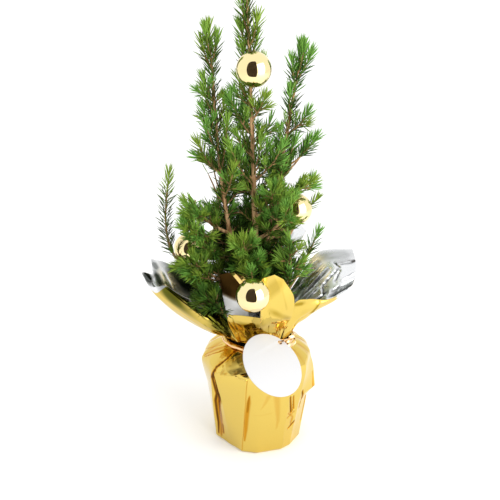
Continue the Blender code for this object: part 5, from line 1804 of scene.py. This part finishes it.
def mass_shoots(limbs, seed, obstacles):
    """The masses on their own stems, one order finer than in the solids."""
    shoots = []
    for table in (BOUGH_MASSES, LEADER_MASSES, TOP_MASSES):
        for name, row in table.items():
            rule = random.Random(f"{seed}.{name}")
            stem = stem_of(row, name, limbs)
            shade = SHADED_MASSES.get(name, 0.32 if "back_" in name or "rear" in name else 0.46)
            if name in TOP_MASSES:
                shoots.append(Shoot(stem, 0.0, 0.6, True, shade, 1.0, 0.9, LEADER_SIZE))
                shoots.append(Shoot(stem, 0.55, 1.0, False, shade, 0.8, 1.2, LEADER_SIZE, 30))
                continue
            size = OUTER_SIZE if name in OUTER_MASSES else LOW_SIZE
            crowd = 0.6 if "back" in name else 0.9
            shoots.append(Shoot(stem, 0.04, 1.0, True, shade, 1.0, crowd, size))
            for twig in side_shoots(stem, 2 * row[-1] + 1, rule, obstacles, TWIG_LENGTH * 0.8, 0.1, 0.8):
                if row[-1]:
                    shoots.append(Shoot(twig, 0.12, 1.0, True, shade, 0.9, crowd, size))
                    for finer in side_shoots(twig, 2, rule, obstacles, TWIG_LENGTH * 0.5, 0.4):
                        shoots.append(Shoot(finer, 0.15, 1.0, True, shade - 0.05, 1.0, crowd, size))
    return shoots


def leader_shoots(limbs, seed, obstacles):
    """The masses round the leaders, with their side shoots and finer ones."""
    shoots = []
    for name, (leader, low, high, sides) in SLEEVES.items():
        rule = random.Random(f"{seed}.{name}")
        limb = limbs[leader]
        first, last = limb.at_height(low), limb.at_height(high)
        shoots.append(Shoot(limb, limb.at_height(low - 6), last, False, 0.33, 1.0 if sides else 0.7,
                            LEADER_CROWDS[name], LEADER_SIZE))
        for height, tip in sides:
            shoot = shoot_to(limb, height, tip)
            shoots.append(Shoot(shoot, 0.15, 1.0, True, 0.38, 0.95, 1.0, OUTER_SIZE))
            for twig in side_shoots(shoot, 2, rule, obstacles, TWIG_LENGTH * 0.6, 0.4, 0.4):
                shoots.append(Shoot(twig, 0.2, 1.0, True, 0.40))
        if sides:
            part = Limb(limb.at(first), limb.at((first + last) / 2), limb.at(last), 1, 1)
            for twig in side_shoots(part, 4, rule, obstacles, TWIG_LENGTH * 0.7, 0.1, 0.9):
                shoots.append(Shoot(twig, 0.2, 1.0, True, 0.36))
    stems = {**limbs, **{name: stem_of(row, name, limbs) for name, row in TOP_MASSES.items()}}
    for name, height, tip in FINE_SHOOTS:
        shoots.append(Shoot(shoot_to(stems[name], height, tip), 0.12, 1.0, True, 0.40, 0.80, 0.9, OUTER_SIZE))
    for name, height, tip in LOW_SHOOTS:
        shoot = shoot_to(limbs[name], height, tip)
        shade = 0.16 if name == "bough_left_front" else 0.47
        shoots.append(Shoot(shoot, 0.1, 1.0, True, shade, 1.0, 1.0, LOW_SIZE))
        for twig in side_shoots(shoot, 2, rule, obstacles, TWIG_LENGTH * 0.5, 0.3, 0.4):
            shoots.append(Shoot(twig, 0.12, 1.0, True, shade - 0.06, 1.0, 1.0, LOW_SIZE))
    return shoots


def inner_shoots(limbs, seed, obstacles):
    """Twigs along the boughs, and all round the leaders inside the crown, in painted shade."""
    shoots = []
    for name in BOUGHS:
        rule = random.Random(f"{seed}.{name}")
        limb = limbs[name]
        shoots.append(Shoot(limb, 0.45, 1.0, False, 0.28, 1.0, 0.3))
        for twig in side_shoots(limb, 4, rule, obstacles, TWIG_LENGTH * 0.9, 0.3, 0.65):
            shoots.append(Shoot(twig, 0.15, 1.0, True, 0.28))
            for finer in side_shoots(twig, 2, rule, obstacles, TWIG_LENGTH * 0.6, 0.3, 0.4):
                shoots.append(Shoot(finer, 0.15, 1.0, True, 0.25))
    rule = random.Random(f"{seed}.inner")
    for name in LEADERS:
        limb = limbs[name]
        turn = rule.uniform(0, 360)
        for height in INNER_HEIGHTS:
            if height < limb.ends[0].z + 6:
                continue
            t = limb.at_height(height + rule.uniform(-2, 2))
            turn += NEEDLE_TURN + rule.uniform(-25, 25)
            direction = turned_from(limb.along(t), INNER_ANGLE + rule.uniform(-10, 10), turn)
            if height > BARE_ABOVE:
                direction.y = abs(direction.y)
            root = limb.at(t)
            tip = root + direction * rule.uniform(*INNER_LENGTHS)
            if obstacles.clear(root, tip):
                twig = Limb(root, root.lerp(tip, 0.5) - Vector((0, 0, 1.5)), tip, TWIG_RADIUS, TWIG_TIP_RADIUS)
                shoots.append(Shoot(twig, 0.1, 1.0, True, 0.22))
                for finer in side_shoots(twig, 2, rule, obstacles, TWIG_LENGTH * 0.7, 0.4, 0.4):
                    shoots.append(Shoot(finer, 0.1, 1.0, True, 0.22))
    return shoots


class Needles:
    """Needles by colour, as points with a direction, a length and a twist."""

    def __init__(self, settings, obstacles):
        self.length = settings.length
        self.pitch = settings.pitch / MM
        self.rule = random.Random(settings.seed)
        self.obstacles = obstacles
        self.sets = {(name, tint): [] for name in NEEDLE_COLOURS for tint in NEEDLE_TINTS}

    def colour(self, shoot, distance, place):
        """Fresh at a shoot's tip and darker down the shoot, with painted shade inside the crown and painted light
        high up.
        """
        level = Vector((place.x + 6, place.y, 0)).length
        inside = max(0.0, 1 - level / INNER_RADIUS) * max(0.0, min(1.0, (SHADED_BELOW - place.z) / SHADE_FADE))
        fresh = max(0.0, 1 - distance / (BRUSH_REACH + 4))
        light = shoot.shade * (1 - 0.75 * inside) + 0.50 * fresh * (1 - 0.6 * inside)
        light += LIT_MORE * max(0.0, min(1.0, (place.z - LIT_ABOVE) / LIT_FADE))
        light += self.rule.uniform(-0.13, 0.13)
        names = list(NEEDLE_COLOURS)
        return names[max(0, min(len(names) - 1, int(light * len(names))))]

    def cover(self, shoot):
        limb = shoot.limb
        length = limb.length()
        count = max(4, int(length * (shoot.end - shoot.begin) / self.pitch * shoot.crowd))
        ends_here = shoot.end > 0.99
        turn = self.rule.uniform(0, 360)
        tint = self.rule.choice(list(NEEDLE_TINTS))
        for k in range(count):
            share = 1 - (1 - (k + 0.5) / count) ** (TIP_CROWDING if ends_here else 1.0)
            t = shoot.begin + (shoot.end - shoot.begin) * share
            turn += NEEDLE_TURN + self.rule.uniform(-9, 9)
            distance = (1 - t) * length if ends_here else 99.0
            closing = max(0.0, 1 - distance / BRUSH_REACH)
            angle = between(NEEDLE_ANGLE * shoot.spread, NEEDLE_TIP_ANGLE, closing) + self.rule.uniform(-8, 8)
            self.add(shoot, tint, t, distance, angle, turn)
        for k in range(shoot.bud if ends_here else 0):
            turn += NEEDLE_TURN
            self.add(shoot, tint, 1.0, 0.0, self.rule.uniform(*BUD_ANGLES), turn)

    def add(self, shoot, tint, t, distance, angle, turn):
        """One needle, where it runs into nothing."""
        direction = turned_from(shoot.limb.along(t), angle, turn)
        direction = (direction + Vector((0, 0, 0.16))).normalized()
        size = self.length / MM * shoot.size * self.rule.uniform(0.80, 1.06)
        place = shoot.limb.at(t) + direction * shoot.limb.radius(t) * 0.6
        if self.obstacles.clear(place, place + direction * size):
            found = self.colour(shoot, distance, place)
            self.sets[found, tint].append((place * MM, direction, size * MM, self.rule.uniform(0, 6.28)))


class SPRUCE_OT_crown(bpy.types.Operator):
    """Grow the shoots and their needles on from the limbs."""

    bl_idname = "spruce.crown"
    bl_label = "Shoots and Needles"

    def execute(self, context):
        settings = context.scene.spruce_needles
        bark = context.scene.spruce_bark
        limbs = grow_limbs()
        obstacles = Obstacles()
        shoots = []
        for grow in (mass_shoots, leader_shoots, inner_shoots):
            shoots += grow(limbs, settings.seed, obstacles)
        masses = [*BOUGH_MASSES, *LEADER_MASSES, *TOP_MASSES, *SLEEVES]
        self.make_twigs(shoots, bark, masses)
        needles = Needles(settings, obstacles)
        for shoot in shoots:
            needles.cover(shoot)
        tree = needle_tree()
        for (name, tint), rows in needles.sets.items():
            places, directions, lengths, twists = zip(*rows)
            piece = points_object(f"needles_{name}_{tint}", places, {
                "direction": directions, "length": lengths, "twist": twists})
            colour = [a * b for a, b in zip(NEEDLE_COLOURS[name], NEEDLE_TINTS[tint])]
            grow_with(piece, tree, {
                "Slenderness": settings.slenderness,
                "Material": needle_finish(f"Needle {name.title()} {tint.title()}", colour)})
            print(piece.name, len(rows), "needles", len(piece.data.polygons), "faces")
            finished(piece, "needles", *masses)
        return {"FINISHED"}

    @staticmethod
    def make_twigs(shoots, bark, masses):
        """The shoots' own wood, one polyline each."""
        places, edges, thickness = [], [], []
        for shoot in shoots:
            if not shoot.wood:
                continue
            count = max(4, int(shoot.limb.length() / 3))
            base = len(places)
            for k in range(count + 1):
                t = k / count
                wobble = drift(shoot.limb.at(t) * 0.12) * 0.5 * min(1.0, 4 * t)
                places.append(tuple((shoot.limb.at(t) + wobble) * MM))
                thickness.append(shoot.limb.radius(t) * MM * (0.5 if k == count else 1.0))
            edges += [(base + k, base + k + 1) for k in range(count)]
        mesh = bpy.data.meshes.new("twigs")
        mesh.from_pydata(places, edges, [])
        mesh.attributes.new("thickness", "FLOAT", "POINT").data.foreach_set("value", thickness)
        piece = bpy.data.objects.new("twigs", mesh)
        bpy.context.scene.collection.objects.link(piece)
        light = [a * b for a, b in zip(bark.light, (0.70, 0.64, 0.50))]
        skin = bark_finish("Young Bark", light, [0.25 * c for c in bark.light], 600.0)
        grow_with(piece, twig_tree(), {"Sides": 7, "Material": skin})
        finished(piece, "bark", *masses)


# Balls

def ball_profile(radius):
    """A blown ball from its foot to its short neck."""
    steps = 40
    neck = 0.19
    profile = [(0.0, -radius)]
    end = math.pi - math.asin(neck)
    for k in range(1, steps + 1):
        angle = end * k / steps
        profile.append((radius * math.sin(angle), -radius * math.cos(angle)))
    profile += [(radius * neck, radius * 1.02), (0.0, radius * 1.02)]
    return profile


def cap_mesh(radius, frame_matrix):
    """A crimped metal cap with its wire loop."""
    heap = Heap()
    profile = [(0.0, 0.978), (0.245, 0.965), (0.25, 0.985), (0.225, 1.0), (0.225, 1.13), (0.205, 1.16),
               (0.0, 1.165)]
    sides = 72
    points, faces = turned_shape([(r * radius, h * radius) for r, h in profile], sides, Matrix())
    crimped = []
    for point in points:
        level = Vector((point.x, point.y, 0))
        azimuth = math.atan2(point.y, point.x)
        ripple = 1 + 0.03 * math.cos(18 * azimuth) * (1 if level.length > 0.2 * radius else 0)
        crimped.append(frame_matrix @ Vector((point.x * ripple, point.y * ripple, point.z)))
    heap.add(crimped, faces)
    loop = [frame_matrix @ Vector((0.13 * radius * math.sin(math.tau * k / 24), 0,
                                   radius * (1.27 - 0.13 * math.cos(math.tau * k / 24))))
            for k in range(25)]
    heap.add(*ring_tube(loop, lambda k, angle: 0.28, 8))
    return heap


def thread_mesh(radius, frame_matrix, lean):
    """A loop of fine gold thread up from the cap to the twig that carries the ball."""
    top = THREAD_LENGTH
    shape = [(0, 0), (1.0, 0.3), (1.5, 0.62), (0.9, 0.92), (0, 1), (-0.9, 0.92), (-1.5, 0.62), (-1.0, 0.3),
             (0, 0)]
    base = frame_matrix @ Vector((0, 0, 1.36 * radius))
    up = Vector((lean[0] * 0.3, lean[1] * 0.3, 1.0)).normalized()
    side = up.cross(Vector((0.3, 1, 0))).normalized()
    path = through([base + side * x + up * y * top for x, y in shape], 6)
    return ring_tube(path, lambda k, angle: 0.22, 6)


def hanger():
    """The flat ribbon that carries the front ball, from its cap over the foil's flap."""
    path = [(-12.0, -55.0, 181.5), (-14.5, -54.6, 184.3), (-16.7, -53.4, 187.0), (-19.4, -51.0, 189.4),
            (-22.2, -47.0, 190.6), (-23.9, -42.0, 189.5)]
    return band(path, [(0.66, -0.34, 0.68)] * len(path), 3.8, 6, curl=0.03)


class SPRUCE_OT_balls(bpy.types.Operator):
    """Hang the mirror-finished balls in the crown, each with its cap, loop and thread."""

    bl_idname = "spruce.balls"
    bl_label = "Hung Balls"

    def execute(self, context):
        settings = context.scene.spruce_balls
        mirror = Finish("Mirror Gold", settings.colour, 0.03, metallic=1.0)
        mirror.vary(mirror.noise(90.0), "Roughness", 0.02, 0.045)
        metal = film("Cap Metal", (0.90, 0.64, 0.22), 0.16)
        radius = settings.radius / MM
        for name, (centre, lean) in BALLS.items():
            placed = frame_along(lean, centre)
            glass = add_piece(name, *turned_shape(ball_profile(radius), 96, placed), [mirror.material], 50)
            finished(glass, "foil")
            heap = cap_mesh(radius, placed)
            heap.add(*(hanger() if name == "ball_front" else thread_mesh(radius, placed, lean)))
            cap = add_piece(f"{name}_cap", heap.points, heap.faces, [metal], 40)
            finished(cap, "foil")
        return {"FINISHED"}


# Stage

def add_plane(name, corners, material):
    mesh = bpy.data.meshes.new(name)
    mesh.from_pydata(corners, [], [tuple(range(len(corners)))])
    mesh.materials.append(material)
    plane = bpy.data.objects.new(name, mesh)
    bpy.context.scene.collection.objects.link(plane)
    return plane


def add_area(name, place, aim, size, power):
    data = bpy.data.lights.new(name, "AREA")
    data.shape = "RECTANGLE"
    data.size, data.size_y = size
    data.energy = power
    light = bpy.data.objects.new(name, data)
    bpy.context.scene.collection.objects.link(light)
    light.location = place
    light.rotation_euler = (Vector(aim) - Vector(place)).to_track_quat("-Z", "Y").to_euler()
    return light


class SPRUCE_OT_stage(bpy.types.Operator):
    """Set the pale floor, the white surroundings, the soft box and the camera."""

    bl_idname = "spruce.stage"
    bl_label = "Stage, Light and Camera"

    def execute(self, context):
        settings = context.scene.spruce_stage
        scene = context.scene
        kept = {*frame["nodes"].values(), *frame["bodies"].values()}
        for item in list(bpy.data.objects):
            if item not in kept:
                bpy.data.objects.remove(item)
        scene.view_settings.view_transform = "Standard"
        scene.view_settings.look = "None"
        world = bpy.data.worlds.new("White Surroundings")
        world.use_nodes = True
        sky = world.node_tree.nodes["Background"]
        sky.inputs["Color"].default_value = (1.0, 1.0, 1.0, 1.0)
        sky.inputs["Strength"].default_value = settings.sky
        scene.world = world

        floor = Finish("Pale Floor", settings.floor, 0.85)
        floor.vary(floor.noise(8.0), "Roughness", 0.8, 0.9)
        reach = 40.0
        add_plane("floor", [(-reach, -reach, 0), (reach, -reach, 0), (reach, reach, 0), (-reach, reach, 0)],
                  floor.material)
        self.add_opening()
        add_area("soft_box", (0.75, -0.62, 0.50), (0.0, 0.0, 0.22), (0.9, 1.1), settings.key)
        self.add_camera(scene)
        return {"FINISHED"}

    @staticmethod
    def add_opening():
        """The studio's dark side behind the camera, which only the mirror finishes show."""
        shade = Finish("Dark Studio", (0.030, 0.018, 0.012), 0.9)
        shade.vary(shade.noise(4.0), "Roughness", 0.85, 0.95)
        corners = [(-0.30, 0.02), (0.12, 0.02), (0.15, 0.10), (0.15, 0.92), (0.10, 1.02), (-0.24, 1.02),
                   (-0.37, 0.92), (-0.43, 0.72), (-0.43, 0.36), (-0.38, 0.14)]
        card = add_plane("dark_side", [(x, -0.42, z) for x, z in corners], shade.material)
        card.visible_camera = False
        card.visible_diffuse = False
        card.visible_shadow = False

    @staticmethod
    def add_camera(scene):
        data = bpy.data.cameras.new("photo_camera")
        data.lens = CAMERA_LENS
        data.clip_start = 0.01
        camera = bpy.data.objects.new("photo_camera", data)
        scene.collection.objects.link(camera)
        camera.location = CAMERA_PLACE
        camera.rotation_euler = (math.radians(90 - CAMERA_PITCH), 0, 0)
        scene.camera = camera


# Panel and registration

SETTINGS = {
    "spruce_stage": SPRUCE_PG_stage,
    "spruce_foil": SPRUCE_PG_foil,
    "spruce_bark": SPRUCE_PG_bark,
    "spruce_needles": SPRUCE_PG_needles,
    "spruce_balls": SPRUCE_PG_balls,
}
OPERATORS = (
    SPRUCE_OT_stage, SPRUCE_OT_pot, SPRUCE_OT_bag, SPRUCE_OT_corners, SPRUCE_OT_tie, SPRUCE_OT_tag,
    SPRUCE_OT_bark, SPRUCE_OT_crown, SPRUCE_OT_balls,
)


class SPRUCE_PT_panel(bpy.types.Panel):
    """Lists the pieces in the order they are made, with their settings."""

    bl_idname = "SPRUCE_PT_panel"
    bl_label = "Gift Spruce"
    bl_space_type = "VIEW_3D"
    bl_region_type = "UI"
    bl_category = "Spruce"

    def draw(self, context):
        for name, group in SETTINGS.items():
            box = self.layout.box()
            for key in group.__annotations__:
                box.prop(getattr(context.scene, name), key)
        for operator in OPERATORS:
            self.layout.operator(operator.bl_idname)


def register():
    for item in (*SETTINGS.values(), *OPERATORS, SPRUCE_PT_panel):
        bpy.utils.register_class(item)
    for name, group in SETTINGS.items():
        setattr(bpy.types.Scene, name, PointerProperty(type=group))


def unregister():
    for name in SETTINGS:
        delattr(bpy.types.Scene, name)
    for item in reversed((*SETTINGS.values(), *OPERATORS, SPRUCE_PT_panel)):
        bpy.utils.unregister_class(item)


def main():
    """Make every piece in order."""
    register()
    for operator in OPERATORS:
        group, name = operator.bl_idname.split(".")
        getattr(getattr(bpy.ops, group), name)()


if __name__ == "__main__":
    main()
